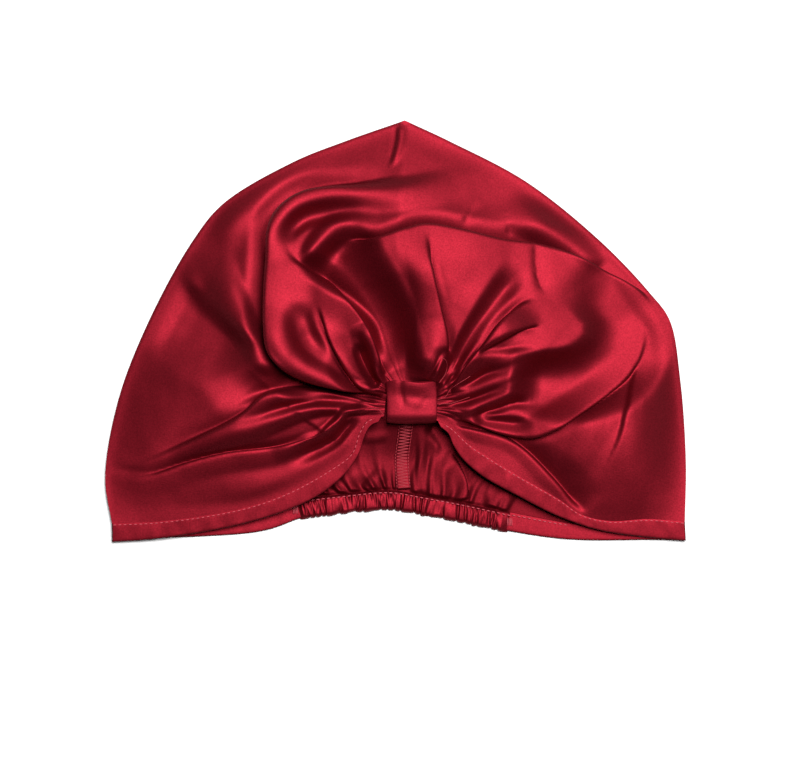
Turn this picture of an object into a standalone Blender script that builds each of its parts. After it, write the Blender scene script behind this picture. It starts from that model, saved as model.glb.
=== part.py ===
"""A silk sleep turban, lying on its back with the knot up.

The shell is one bag of satin: the back cloth lies flat, and the loose front cloth
stands over it in folds that all run into the knot band. +Y points to the peak,
+Z away from the surface that the turban lies on.
"""

import math
from collections import namedtuple

import bmesh
import bpy
import numpy as np

# Driving sizes, in metres.
FLAT_WIDTH = 0.2925
CROWN_LENGTH = 0.213
CLOTH = 0.0012
SEAM_GAP = 0.0003

# The front cloth: how far it stands up, how soon, and the size of its folds.
PUFF = 0.017
PUFF_REACH = 0.016
FOLD_HEIGHT = 0.012
FOLD_REACH = 0.010
HEM_REACH = 0.009
SETTLING = 2
STEEPEST = 2.0

# The knot: its height above the floor, the band round it and the gathers in it.
KNOT_HEIGHT = 0.0155
KNOT_REACH = 0.040
BAND_WIDTH = 0.025
BAND_DEPTH = 0.021
BAND_RISE = 0.0048
BAND_CROWN = 0.0008
PLEAT_CALM = 0.010

# Hems, the gathered casing at the nape, and the sewn seam inside the back.
FRONT_HEM_START = 0.012
FRONT_HEM_DROOP = 0.10
CASING_DEPTH = 0.0100
CASING_THICKNESS = 0.0040
CASING_GATHERS = 22
GATHER_DIP = 0.30
BACK_HEM_CORNER = 0.0050
SEAM_WIDTH = 0.0065
SEAM_THICKNESS = 0.0015

# How finely each cloth is divided, along it and across it. The rows of the front
# cloth, and the columns of its hems, lie closer together near the knot.
OUTWARD = 1.25
FRONT_GRID = (88, 25)
BACK_GRID = (44, 8)
FRONT_HEM_GRID = (25, 2)
BACK_HEM_GRID = (8, 1)
CASING_GRID = (4 * CASING_GATHERS, 2)
BAND_GRID = (18, 6)
SEAM_GRID = (20, 2)

SILK_RED = (0.40, 0.018, 0.035, 1.0)
SEAM_RED = (0.46, 0.030, 0.045, 1.0)

# Every place below is a pair of shares, in hundredths: across FLAT_WIDTH from the
# middle, and along CROWN_LENGTH from the middle towards the peak.
LEFT_SIDE = (
    (-48.8, -45.5), (-50.0, -34.5), (-47.8, -16.2), (-42.5, 2.6), (-35.0, 21.4),
    (-29.7, 30.3), (-17.7, 40.1), (-8.6, 45.1), (1.6, 50.0),
)
RIGHT_SIDE = (
    (1.6, 50.0), (9.7, 44.8), (22.6, 35.4), (35.3, 21.4), (43.8, 9.2), (47.3, 2.6),
    (49.1, -11.5), (50.0, -30.3), (49.8, -45.1),
)
FRONT_HEM_LEFT_LINE = (
    (-2.0, -20.0), (-4.7, -20.9), (-6.1, -23.7), (-7.4, -28.6), (-11.2, -32.6),
    (-18.0, -37.8), (-24.9, -41.3), (-33.4, -43.7), (-42.0, -45.1), (-48.8, -45.5),
)
FRONT_HEM_LEFT_EDGE = (
    (-2.6, -21.2), (-4.2, -22.2), (-5.4, -25.1), (-6.2, -28.6), (-7.8, -32.2),
    (-10.9, -36.4), (-14.6, -39.7), (-19.7, -42.7), (-26.6, -45.5), (-33.4, -47.4),
    (-42.0, -49.1), (-48.8, -49.8),
)
FRONT_HEM_RIGHT_LINE = (
    (6.9, -20.9), (9.3, -22.5), (12.7, -26.8), (20.4, -33.6), (28.1, -39.7),
    (31.9, -43.2), (36.7, -44.8), (43.5, -44.4), (49.8, -45.1),
)
FRONT_HEM_RIGHT_EDGE = (
    (7.5, -22.4), (9.0, -24.0), (9.8, -26.6), (11.4, -29.9), (14.8, -34.0),
    (21.3, -39.0), (28.1, -43.7), (35.0, -46.9), (41.8, -48.4), (50.0, -49.5),
)
NAPE_LINE = (
    (-48.6, -47.2), (-33.4, -45.3), (-23.2, -43.2), (-16.8, -40.0), (-9.5, -38.6),
    (-0.9, -37.6), (4.2, -38.7), (11.0, -40.4), (21.3, -43.4), (31.5, -45.8),
    (49.6, -47.2),
)
CASING_SPAN = (0.32, 0.70)
SEAM_LINE = ((1.4, -37.4), (1.1, -30.3), (1.8, -21.8), (2.5, 7.3), (1.8, 42.0))
KNOT_PLACE = (2.65, -16.8)

# The mouth of the gathers, as shares of half the band's width and depth.
KNOT_MOUTH = (
    (-0.90, -0.60), (-0.96, 0.10), (-0.84, 0.62), (-0.42, 0.80), (0.00, 0.84),
    (0.42, 0.80), (0.84, 0.62), (0.96, 0.10), (0.88, -0.64),
)

# A fold follows path. Its height is a share of FOLD_HEIGHT, and a hollow's is below
# zero. left and right are its widths on each side at both ends, as shares of
# FOLD_REACH. It rises and falls over these shares of its length, and crisp is from
# 0, round, to 1, creased.
Fold = namedtuple("Fold", "path height left right rise fall crisp")

FRONT_FOLDS = {
    "left_lobe": Fold(
        ((-14.6, -10.3), (-25.7, -8.0), (-36.0, -5.6), (-43.7, -6.8)),
        0.6, (2.2, 2.6), (2.0, 2.6), 0.25, 0.50, 0.0),
    "right_lobe": Fold(
        ((14.4, 7.3), (28.1, 9.6), (40.1, 4.9), (46.1, -11.5), (46.9, -27.9)),
        0.6, (2.0, 1.6), (2.0, 2.4), 0.25, 0.40, 0.0),
    "crown_top": Fold(
        ((-16.3, 36.6), (0.8, 42.5), (17.9, 35.4), (31.5, 22.5)),
        0.4, (1.4, 1.4), (1.6, 1.6), 0.30, 0.30, 0.0),
    "mid_front": Fold(
        ((-16.3, 7.3), (4.2, 19.0), (21.3, 14.3)),
        0.5, (2.5, 2.5), (2.5, 2.5), 0.30, 0.30, 0.0),
    "west_valley": Fold(
        ((-11.2, -12.4), (-17.2, -9.6), (-21.8, -4.9), (-23.5, 2.6), (-24.5, 12.0),
         (-24.5, 21.4), (-21.8, 28.9), (-16.3, 33.1)),
        -0.9, (0.9, 0.9), (0.5, 0.5), 0.15, 0.35, 0.0),
    "cheek_ridge": Fold(
        ((-22.8, -4.5), (-25.6, 2.6), (-27.6, 10.8), (-29.3, 19.0), (-27.9, 27.9)),
        0.4, (0.9, 0.9), (0.7, 0.7), 0.20, 0.30, 0.0),
    "cheek_groove": Fold(
        ((-22.8, -5.9), (-26.9, -1.6), (-30.3, 4.0), (-32.6, 8.5), (-35.1, 11.3)),
        -0.5, (0.7, 0.9), (0.7, 0.9), 0.15, 0.40, 0.0),
    "pocket_left": Fold(
        ((-3.5, -16.0), (-11.2, -12.4), (-17.2, -11.0), (-22.8, -12.4), (-27.4, -15.0)),
        -0.9, (0.6, 1.2), (0.5, 0.9), 0.10, 0.50, 0.0),
    "hook_flap": Fold(
        ((-2.0, -16.7), (-8.6, -12.7), (-15.5, -8.2), (-19.4, -2.8), (-21.1, 3.8),
         (-21.6, 13.1), (-21.5, 20.2), (-19.2, 27.2)),
        0.8, (0.4, 0.9), (1.2, 0.9), 0.10, 0.20, 0.0),
    "hook_rope": Fold(
        ((-21.3, 13.1), (-21.3, 20.7), (-19.1, 26.8), (-14.6, 30.0), (-7.8, 31.5),
         (-0.6, 32.9), (5.9, 36.2), (13.6, 38.7)),
        0.8, (0.9, 1.0), (0.8, 0.9), 0.15, 0.35, 0.0),
    "rope_groove": Fold(
        ((-18.5, 20.7), (-17.5, 24.4), (-13.8, 26.8), (-7.8, 27.7), (-0.1, 27.9),
         (7.6, 30.0)),
        -0.6, (0.7, 0.8), (0.7, 0.8), 0.15, 0.30, 0.0),
    "flap_edge": Fold(
        ((-2.6, -12.7), (-3.3, -4.5), (-5.4, 3.1), (-8.8, 8.7), (-12.6, 13.4),
         (-16.3, 16.2), (-19.1, 20.4)),
        0.6, (1.3, 1.0), (0.4, 0.7), 0.20, 0.12, 0.0),
    "deep_hollow": Fold(
        ((0.8, -5.6), (-0.6, 3.8), (-4.0, 10.8), (-7.8, 17.1), (-9.8, 21.8)),
        -1.0, (1.1, 1.0), (1.3, 1.2), 0.30, 0.25, 0.0),
    "hollow_bump": Fold(
        ((-4.0, 3.1), (-1.6, -2.6), (1.1, -9.6)),
        0.4, (0.5, 0.6), (0.7, 0.7), 0.30, 0.20, 0.0),
    "teardrop_pleat": Fold(
        ((-2.0, -14.1), (-3.5, -8.2), (-4.7, -3.5), (-6.1, -0.7), (-7.6, -1.6)),
        0.45, (0.3, 0.5), (0.3, 0.5), 0.10, 0.20, 0.2),
    "upper_left_pleat": Fold(
        ((-2.0, -15.5), (-5.7, -10.8), (-7.8, -5.9), (-8.6, -1.6), (-10.2, 3.8)),
        0.45, (0.3, 0.5), (0.3, 0.5), 0.10, 0.40, 0.2),
    "upper_left_groove": Fold(
        ((-2.0, -16.2), (-6.4, -12.4), (-9.5, -8.2), (-11.5, -4.5), (-14.6, -3.3)),
        -0.6, (0.3, 0.6), (0.3, 0.6), 0.10, 0.40, 0.1),
    "side_pleat": Fold(
        ((-2.0, -17.4), (-8.6, -15.3), (-13.8, -13.6), (-18.0, -13.6), (-21.8, -14.8),
         (-24.9, -17.1)),
        0.5, (0.3, 0.8), (0.3, 0.7), 0.10, 0.30, 0.1),
    "long_pleat": Fold(
        ((-2.0, -18.3), (-8.6, -17.6), (-12.9, -16.9), (-17.7, -18.1), (-23.2, -20.2),
         (-28.3, -21.1), (-32.6, -24.4), (-36.8, -27.2), (-42.0, -30.0), (-47.9, -31.5)),
        0.6, (0.3, 1.2), (0.3, 1.0), 0.08, 0.20, 0.0),
    "low_crest": Fold(
        ((-11.2, -25.1), (-16.3, -27.2), (-22.8, -26.3), (-27.4, -27.2), (-33.4, -29.3),
         (-39.4, -32.6), (-45.4, -34.3)),
        0.4, (0.7, 0.9), (0.7, 0.9), 0.20, 0.20, 0.0),
    "low_pocket": Fold(
        ((-4.0, -19.0), (-7.8, -18.8), (-12.1, -19.2), (-15.0, -21.4), (-17.7, -25.6)),
        -0.6, (0.3, 0.4), (0.3, 0.5), 0.15, 0.35, 0.1),
    "low_pleat": Fold(
        ((-2.0, -19.2), (-5.7, -19.0), (-8.8, -19.2), (-10.2, -22.8), (-12.9, -25.6),
         (-17.2, -27.7), (-20.4, -29.8)),
        0.6, (0.25, 0.3), (0.25, 0.3), 0.10, 0.25, 0.4),
    "low_shadow": Fold(
        ((-4.7, -20.9), (-7.8, -21.8), (-10.3, -24.6), (-14.3, -27.9), (-18.9, -30.8),
         (-23.2, -32.6)),
        -0.7, (0.3, 0.5), (0.35, 0.4), 0.15, 0.35, 0.1),
    "hem_roll_left": Fold(
        ((-6.4, -24.6), (-8.1, -27.9), (-12.9, -31.2), (-18.9, -34.0), (-25.7, -35.9),
         (-33.4, -37.1), (-42.0, -38.3), (-48.5, -39.0)),
        0.5, (1.0, 1.0), (0.5, 0.7), 0.10, 0.15, 0.0),
    "centre_ridge": Fold(
        ((6.2, -8.2), (7.1, -2.1), (6.4, 5.4), (4.5, 12.4), (3.2, 18.5), (4.9, 23.2)),
        0.8, (0.8, 0.8), (0.5, 0.7), 0.15, 0.20, 0.0),
    "flap_top": Fold(
        ((-10.3, 20.7), (-2.6, 22.3), (5.6, 24.6), (14.4, 23.9), (21.3, 22.1),
         (28.1, 19.7), (35.0, 16.2), (41.8, 11.0), (44.9, 8.2)),
        0.6, (0.9, 0.8), (2.4, 1.6), 0.08, 0.06, 0.0),
    "steep_valley": Fold(
        ((8.5, -11.0), (11.0, -4.9), (14.4, 1.2), (17.9, 7.3), (20.4, 12.0), (22.0, 15.3)),
        -0.8, (0.3, 0.5), (0.3, 0.5), 0.15, 0.25, 0.1),
    "star_ridge": Fold(
        ((7.3, -14.8), (10.2, -8.9), (13.9, -2.8), (17.9, 2.1), (21.6, 5.2), (25.6, 7.3)),
        0.7, (0.3, 0.8), (0.3, 0.7), 0.08, 0.30, 0.1),
    "right_pocket": Fold(
        ((12.1, -8.2), (15.1, -4.0), (18.7, -0.7), (22.6, 0.5), (25.6, -0.2)),
        -0.8, (0.25, 0.5), (0.25, 0.5), 0.15, 0.25, 0.1),
    "right_valley": Fold(
        ((11.4, -12.7), (14.4, -9.6), (18.7, -7.3), (25.6, -5.6), (31.5, -2.6),
         (35.0, 3.1), (35.0, 10.8)),
        -0.9, (0.3, 1.4), (0.3, 1.2), 0.12, 0.30, 0.0),
    "right_pleat": Fold(
        ((7.3, -16.9), (11.9, -14.6), (16.2, -11.7), (20.9, -9.2), (26.4, -8.2),
         (33.2, -9.6)),
        0.5, (0.2, 0.5), (0.25, 0.9), 0.08, 0.30, 0.2),
    "leaf_pleat": Fold(
        ((7.3, -19.2), (12.7, -18.3), (17.2, -15.5), (19.9, -12.9), (23.3, -12.4),
         (26.1, -15.3)),
        0.5, (0.3, 0.6), (0.3, 0.6), 0.08, 0.25, 0.1),
    "arc_roll": Fold(
        ((7.3, -20.4), (13.6, -21.1), (18.7, -23.5), (23.5, -24.2), (28.1, -20.9),
         (34.4, -16.2), (39.4, -9.9), (42.3, -2.6), (43.5, 4.9)),
        0.8, (0.3, 1.2), (0.3, 0.9), 0.08, 0.25, 0.0),
    "hem_roll_right": Fold(
        ((7.6, -21.4), (12.7, -21.8), (17.9, -26.5), (23.0, -31.2), (28.1, -36.2),
         (33.6, -42.7)),
        0.5, (0.4, 0.7), (0.7, 0.7), 0.08, 0.12, 0.0),
    "top_pleat": Fold(
        ((1.1, -11.5), (0.4, -6.8), (-1.6, -1.6)),
        0.45, (0.4, 0.6), (0.25, 0.4), 0.10, 0.40, 0.3),
    "top_groove": Fold(
        ((2.6, -12.0), (2.5, -6.8), (1.6, -0.9)),
        -0.6, (0.2, 0.3), (0.2, 0.3), 0.10, 0.40, 0.1),
}

# The back cloth puckers where the casing draws it in.
BACK_FOLDS = {
    "pucker_1": Fold(
        ((-12.1, -38.6), (-10.7, -34.5), (-9.5, -31.0)),
        0.22, (0.45, 0.35), (0.45, 0.35), 0.20, 0.50, 0.0),
    "pucker_2": Fold(
        ((-7.8, -38.0), (-6.6, -32.6), (-5.6, -27.0)),
        0.26, (0.45, 0.40), (0.45, 0.40), 0.20, 0.50, 0.0),
    "pucker_3": Fold(
        ((-3.6, -37.6), (-2.6, -33.8), (-1.8, -30.0)),
        0.22, (0.40, 0.35), (0.35, 0.30), 0.20, 0.50, 0.0),
    "pucker_4": Fold(
        ((6.2, -39.0), (6.4, -33.8), (7.9, -27.9)),
        0.30, (0.50, 0.45), (0.50, 0.45), 0.20, 0.50, 0.0),
    "pucker_5": Fold(
        ((10.7, -40.4), (10.3, -34.5), (9.8, -29.0)),
        0.26, (0.45, 0.40), (0.45, 0.40), 0.20, 0.50, 0.0),
    "pucker_6": Fold(
        ((15.1, -41.6), (15.6, -36.2), (16.2, -31.5)),
        0.26, (0.45, 0.40), (0.45, 0.40), 0.20, 0.50, 0.0),
}


def placed(shares):
    """Places given in hundredths of the width and the length, in metres."""
    return np.asarray(shares, float) * (FLAT_WIDTH / 100, CROWN_LENGTH / 100)


def eased(share):
    """0 below 0, 1 above 1, and a smooth rise between."""
    share = np.clip(share, 0.0, 1.0)
    return share * share * (3.0 - 2.0 * share)


def smooth_line(points, steps):
    """A Catmull-Rom curve through points, with steps + 1 points at equal distances."""
    points = np.asarray(points, float)
    ends = np.vstack([2 * points[0] - points[1], points, 2 * points[-1] - points[-2]])
    knots = np.concatenate([[0.0], np.cumsum(np.sqrt(np.linalg.norm(np.diff(ends, axis=0), axis=1)))])
    drawn = []
    for i in range(1, len(points)):
        t0, t1, t2, t3 = knots[i - 1:i + 3]
        p0, p1, p2, p3 = ends[i - 1:i + 3]
        t = np.linspace(t1, t2, 16)[:, None]
        a1 = ((t1 - t) * p0 + (t - t0) * p1) / (t1 - t0)
        a2 = ((t2 - t) * p1 + (t - t1) * p2) / (t2 - t1)
        a3 = ((t3 - t) * p2 + (t - t2) * p3) / (t3 - t2)
        b1 = ((t2 - t) * a1 + (t - t0) * a2) / (t2 - t0)
        b2 = ((t3 - t) * a2 + (t - t1) * a3) / (t3 - t1)
        drawn.append(((t2 - t) * b1 + (t - t1) * b2) / (t2 - t1))
    return evenly(np.vstack(drawn), steps)


def evenly(line, steps):
    """The same line with steps + 1 points at equal distances along it."""
    length = np.concatenate([[0.0], np.cumsum(np.linalg.norm(np.diff(line, axis=0), axis=1))])
    wanted = np.linspace(0.0, length[-1], steps + 1)
    return np.stack([np.interp(wanted, length, column) for column in line.T], axis=-1)


def at_share(line, share):
    """The point at that share of an evenly divided line."""
    shares = np.linspace(0.0, 1.0, len(line))
    return np.stack([np.interp(share, shares, column) for column in line.T], axis=-1)


def beside(places, line):
    """For each place: its distance from the line, positive to the left, and the share along it."""
    nearest = np.full(len(places), np.inf)
    along = np.zeros(len(places))
    side = np.ones(len(places))
    for i, (start, end) in enumerate(zip(line[:-1], line[1:])):
        step, away = end - start, places - start
        share = np.clip(away @ step / (step @ step), 0.0, 1.0)
        distance = np.linalg.norm(away - share[:, None] * step, axis=1)
        closer = distance < nearest
        nearest = np.where(closer, distance, nearest)
        along = np.where(closer, (i + share) / (len(line) - 1), along)
        turned = step[0] * away[:, 1] - step[1] * away[:, 0]
        side = np.where(closer, np.where(turned < 0, -1.0, 1.0), side)
    return nearest * side, along


def fold_heights(places, folds):
    """How far the folds raise or sink the cloth at each place."""
    raised = np.zeros(len(places))
    for fold in folds.values():
        line = smooth_line(placed(fold.path), 5 * (len(fold.path) - 1))
        distance, along = beside(places, line)
        left = fold.left[0] + (fold.left[1] - fold.left[0]) * along
        right = fold.right[0] + (fold.right[1] - fold.right[0]) * along
        reach = FOLD_REACH * np.where(distance > 0, left, right)
        out = np.clip(np.abs(distance) / reach, 0.0, 1.0)
        profile = (1 - fold.crisp) * (1 - out**2) ** 2 + fold.crisp * (1 - out) ** 2
        length = eased(along / fold.rise) * eased((1 - along) / fold.fall)
        raised += FOLD_HEIGHT * fold.height * profile * length
    return raised


def outline():
    """The side folds and the top, from the left hem corner over the peak to the right one."""
    left = smooth_line(placed(LEFT_SIDE), 160)
    right = smooth_line(placed(RIGHT_SIDE), 160)
    return evenly(np.vstack([left, right[1:]]), 400)


def knot_mouth():
    """Where the front cloth enters the band, from its lower left over the top to its lower right."""
    shares = np.array(KNOT_MOUTH) * (BAND_WIDTH / 2, BAND_DEPTH / 2)
    return smooth_line(placed(KNOT_PLACE) + shares, 200)


OUTLINE = outline()
MOUTH = knot_mouth()
LEFT_LINE = smooth_line(placed(FRONT_HEM_LEFT_LINE), 40)
RIGHT_LINE = smooth_line(placed(FRONT_HEM_RIGHT_LINE), 40)
LEFT_EDGE = smooth_line(placed(FRONT_HEM_LEFT_EDGE), 200)
RIGHT_EDGE = smooth_line(placed(FRONT_HEM_RIGHT_EDGE), 200)
NAPE = smooth_line(placed(NAPE_LINE), 400)
SEAM = smooth_line(placed(SEAM_LINE), 100)

# What lies under the front cloth at its side folds, and at its hem's corners.
BACK_TOP = CLOTH
RIM_REST = BACK_TOP + SEAM_GAP
CORNER_REST = 2 * CLOTH + SEAM_GAP


def front_rest(places):
    """The lowest that the front cloth's underside may lie at each place."""
    from_hem = np.minimum(np.abs(beside(places, LEFT_LINE)[0]), np.abs(beside(places, RIGHT_LINE)[0]))
    near = 1.0 - eased(from_hem / (2 * HEM_REACH))
    return RIM_REST + (CORNER_REST + CLOTH - RIM_REST) * near


def front_height(places):
    """The height of the front cloth's outer face at each place."""
    from_rim = np.abs(beside(places, OUTLINE[::8])[0])
    from_knot = np.linalg.norm(places - placed(KNOT_PLACE), axis=1)
    rim = front_rest(places) + CLOTH
    pillow = rim + PUFF * (1.0 - np.exp(-from_rim / PUFF_REACH))
    height = KNOT_HEIGHT + (pillow - KNOT_HEIGHT) * eased(from_knot / KNOT_REACH)
    height = height + fold_heights(places, FRONT_FOLDS)
    calm = eased((from_knot - BAND_DEPTH / 2) / PLEAT_CALM)
    height = KNOT_HEIGHT + (height - KNOT_HEIGHT) * (0.15 + 0.85 * calm)
    for line in (LEFT_LINE, RIGHT_LINE):
        distance, along = beside(places, line)
        pull = np.exp(-np.abs(distance) / HEM_REACH)
        height = height + (np.minimum(hem_height(along), height) - height) * pull
    return height


def hem_height(along):
    """The height of the front hem's stitching line, from the knot at 0 to the corner at 1."""
    corner = CORNER_REST + 2 * CLOTH
    return KNOT_HEIGHT + (corner - KNOT_HEIGHT) * along**0.8


def settled(heights, grid):
    """Heights over a grid, each drawn towards its neighbours, so that a fold crosses it smoothly."""
    field = heights.reshape(grid)
    for _ in range(SETTLING):
        field[1:-1] = (field[:-2] + 2 * field[1:-1] + field[2:]) / 4
        field[:, 1:-1] = (field[:, :-2] + 2 * field[:, 1:-1] + field[:, 2:]) / 4
    return field.ravel()


def front_cloth(along, across):
    """along runs round the knot from the left hem to the right, across from the knot out to the rim."""
    out = across**OUTWARD
    inner, rim = at_share(MOUTH, along), at_share(OUTLINE, along)
    places = inner + out[:, None] * (rim - inner)
    for line, end, turned in ((LEFT_LINE, 0.0, along), (RIGHT_LINE, 1.0, 1 - along)):
        start, finish = at_share(MOUTH, end), at_share(OUTLINE, end)
        pull = at_share(line, out) - (start + out[:, None] * (finish - start))
        places = places + (1.0 - np.clip(turned / 0.3, 0.0, 1.0))[:, None] ** 2 * pull
    height = front_height(places)
    step = CLOTH
    slope_x = (front_height(places + (step, 0.0)) - height) / step
    slope_y = (front_height(places + (0.0, step)) - height) / step
    thick = CLOTH * np.sqrt(1.0 + np.minimum(slope_x**2 + slope_y**2, STEEPEST**2))
    grid = (len(np.unique(along)), len(np.unique(across)))
    inner = np.maximum(settled(height - thick, grid), front_rest(places))
    outer = np.maximum(settled(height, grid), inner + CLOTH)
    return np.column_stack([places, outer]), np.column_stack([places, inner])


def back_cloth(along, across):
    """along runs from the left corner to the right, across from the nape up to the rim."""
    spread = 0.5 + 0.5 * np.sign(along - 0.5) * np.abs(2 * along - 1) ** 1.3
    low = at_share(NAPE, 0.006 + 0.988 * spread)
    rim = at_share(OUTLINE, 0.012 + 0.976 * along)
    places = low + across[:, None] ** 1.6 * (rim - low)
    lift = back_lift(places)
    return np.column_stack([places, lift + BACK_TOP]), np.column_stack([places, lift])


def back_lift(places):
    """How far the puckers lift the back cloth off the floor. It stays down along the seam."""
    from_seam = np.abs(beside(places, SEAM)[0])
    clear = eased((from_seam - SEAM_WIDTH / 2) / SEAM_WIDTH)
    return np.maximum(fold_heights(places, BACK_FOLDS), 0.0) * clear


def strip_between(line, edge, along, across, gap):
    """Places across a strip whose upper edge runs the gap below line and whose lower edge is edge."""
    top, low = at_share(line, along), at_share(edge, along)
    away = (low - top) / np.linalg.norm(low - top, axis=1)[:, None]
    top = top + gap * away
    return top + across[:, None] * (low - top)


def front_hem(line, edge):
    """The turned and stitched hem below one half of the front cloth."""

    def strip(along, across):
        share = np.maximum(along**OUTWARD, FRONT_HEM_START)
        places = strip_between(line, edge, share, across, 2 * SEAM_GAP)
        stitched = at_share(line, share)
        fall = FRONT_HEM_DROOP * np.linalg.norm(places - stitched, axis=1)
        lowest = CORNER_REST + 2 * CLOTH
        outer = np.maximum(front_height(stitched) - fall, lowest)
        return np.column_stack([places, outer]), np.column_stack([places, outer - 2 * CLOTH])

    return strip


def below_nape(share, depth):
    """Places that depth below the nape line, square to it."""
    step = 0.002
    ahead = at_share(NAPE, np.clip(share + step, 0, 1)) - at_share(NAPE, np.clip(share - step, 0, 1))
    down = np.column_stack([ahead[:, 1], -ahead[:, 0]]) / np.linalg.norm(ahead, axis=1)[:, None]
    return at_share(NAPE, share) + depth[:, None] * down


def nape_casing(along, across):
    """The gathered channel that holds the elastic, flat beneath and ribbed above."""
    share = CASING_SPAN[0] + (CASING_SPAN[1] - CASING_SPAN[0]) * along
    gather = 0.5 - 0.5 * np.cos(2 * math.pi * CASING_GATHERS * along)
    depth = SEAM_GAP + across * (CASING_DEPTH - 0.10 * CASING_DEPTH * gather)
    places = below_nape(share, depth)
    round_over = np.sqrt(1.0 - 0.8 * (2 * across - 1) ** 2)
    height = CASING_THICKNESS * round_over * (1.0 - GATHER_DIP * gather)
    return np.column_stack([places, height]), np.column_stack([places, np.zeros(len(places))])


def back_hem(first, last, deep_end):
    """The plain hem between a corner and the casing. deep_end is the end that meets the casing."""

    def strip(along, across):
        share = first + (last - first) * along
        towards_casing = along if deep_end else 1.0 - along
        deepest = BACK_HEM_CORNER + (0.9 * CASING_DEPTH - BACK_HEM_CORNER) * eased(towards_casing)
        places = below_nape(share, SEAM_GAP + across * (deepest - SEAM_GAP))
        height = np.full(len(places), 2 * CLOTH)
        return np.column_stack([places, height]), np.column_stack([places, 0 * height])

    return strip


def band_path(along, inset):
    """The band's section from above the knot, down its front, round the hem and up behind it."""
    half = BAND_RISE - inset
    straight = BAND_DEPTH - BAND_RISE
    turn = math.pi * BAND_RISE
    run = along * (2 * straight + turn)
    angle = np.clip((run - straight) / BAND_RISE, 0.0, math.pi)
    down = np.clip(run, 0.0, straight) - np.clip(run - straight - turn, 0.0, straight)
    y = BAND_DEPTH / 2 - down - half * np.sin(angle)
    crown = BAND_CROWN * np.sin(math.pi * np.clip(run / straight, 0.0, 1.0))
    return y, half * np.cos(angle) + crown


def knot_band(along, across):
    """The strip of satin folded round the gathers, open at the top and at both sides."""
    centre = placed(KNOT_PLACE)
    x = centre[0] + BAND_WIDTH * (across - 0.5)
    middle = KNOT_HEIGHT - CLOTH / 2
    walls = []
    for inset in (0.0, CLOTH):
        y, z = band_path(along, inset)
        walls.append(np.column_stack([x, centre[1] + y, middle + z]))
    return walls


def back_seam(along, across):
    """The overlocked seam allowance, lying on the inside of the back cloth."""
    line = at_share(SEAM, along)
    step = 0.01
    ahead = at_share(SEAM, np.clip(along + step, 0, 1)) - at_share(SEAM, np.clip(along - step, 0, 1))
    right = np.column_stack([ahead[:, 1], -ahead[:, 0]]) / np.linalg.norm(ahead, axis=1)[:, None]
    places = line + SEAM_WIDTH * (across[:, None] - 0.5) * right
    low = np.full(len(places), BACK_TOP + SEAM_GAP)
    return np.column_stack([places, low + SEAM_THICKNESS]), np.column_stack([places, low])


def flat_slab(columns, rows):
    """A closed slab over a unit square, divided into columns and rows on both faces."""
    slab = bmesh.new()
    bmesh.ops.create_grid(slab, x_segments=columns, y_segments=rows, size=0.5)
    bmesh.ops.solidify(slab, geom=slab.faces[:], thickness=1.0)
    bmesh.ops.recalc_face_normals(slab, faces=slab.faces[:])
    return slab


def cloth_piece(name, grid, sheet, material):
    """Bends a slab to a sheet, which gives outer and inner points at shares along and across."""
    columns, rows = grid
    slab = flat_slab(columns, rows)
    corners = np.array([v.co[:] for v in slab.verts])
    column = np.rint((corners[:, 0] + 0.5) * columns).astype(int)
    row = np.rint((corners[:, 1] + 0.5) * rows).astype(int)
    upper = corners[:, 2] > corners[:, 2].mean()
    along, across = np.meshgrid(np.arange(columns + 1) / columns, np.arange(rows + 1) / rows, indexing="ij")
    outer, inner = sheet(along.ravel(), across.ravel())
    at = column * (rows + 1) + row
    for v, point in zip(slab.verts, np.where(upper[:, None], outer[at], inner[at])):
        v.co = point
    if slab.calc_volume(signed=True) < 0:
        bmesh.ops.reverse_faces(slab, faces=slab.faces[:])
    mesh = bpy.data.meshes.new(name)
    slab.to_mesh(mesh)
    slab.free()
    mesh.shade_smooth()
    mesh.set_sharp_from_angle(angle=math.radians(50))
    mesh.materials.append(material)
    piece = bpy.data.objects.new(name, mesh)
    bpy.context.scene.collection.objects.link(piece)
    return piece


def satin(name, colour, roughness):
    """Dyed silk satin: coloured highlights, soft gloss."""
    material = bpy.data.materials.new(name)
    material.use_nodes = True
    shader = material.node_tree.nodes["Principled BSDF"]
    shader.inputs["Base Color"].default_value = colour
    shader.inputs["Roughness"].default_value = roughness
    shader.inputs["Metallic"].default_value = 0.4
    return material


def centre_on_floor(pieces):
    """Moves the turban so that the middle of its box stands over the origin, on the floor."""
    corners = np.array([v.co[:] for piece in pieces for v in piece.data.vertices])
    low, high = corners.min(axis=0), corners.max(axis=0)
    for piece in pieces:
        for v in piece.data.vertices:
            v.co.x -= (low[0] + high[0]) / 2
            v.co.y -= (low[1] + high[1]) / 2
            v.co.z -= low[2]


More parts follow.
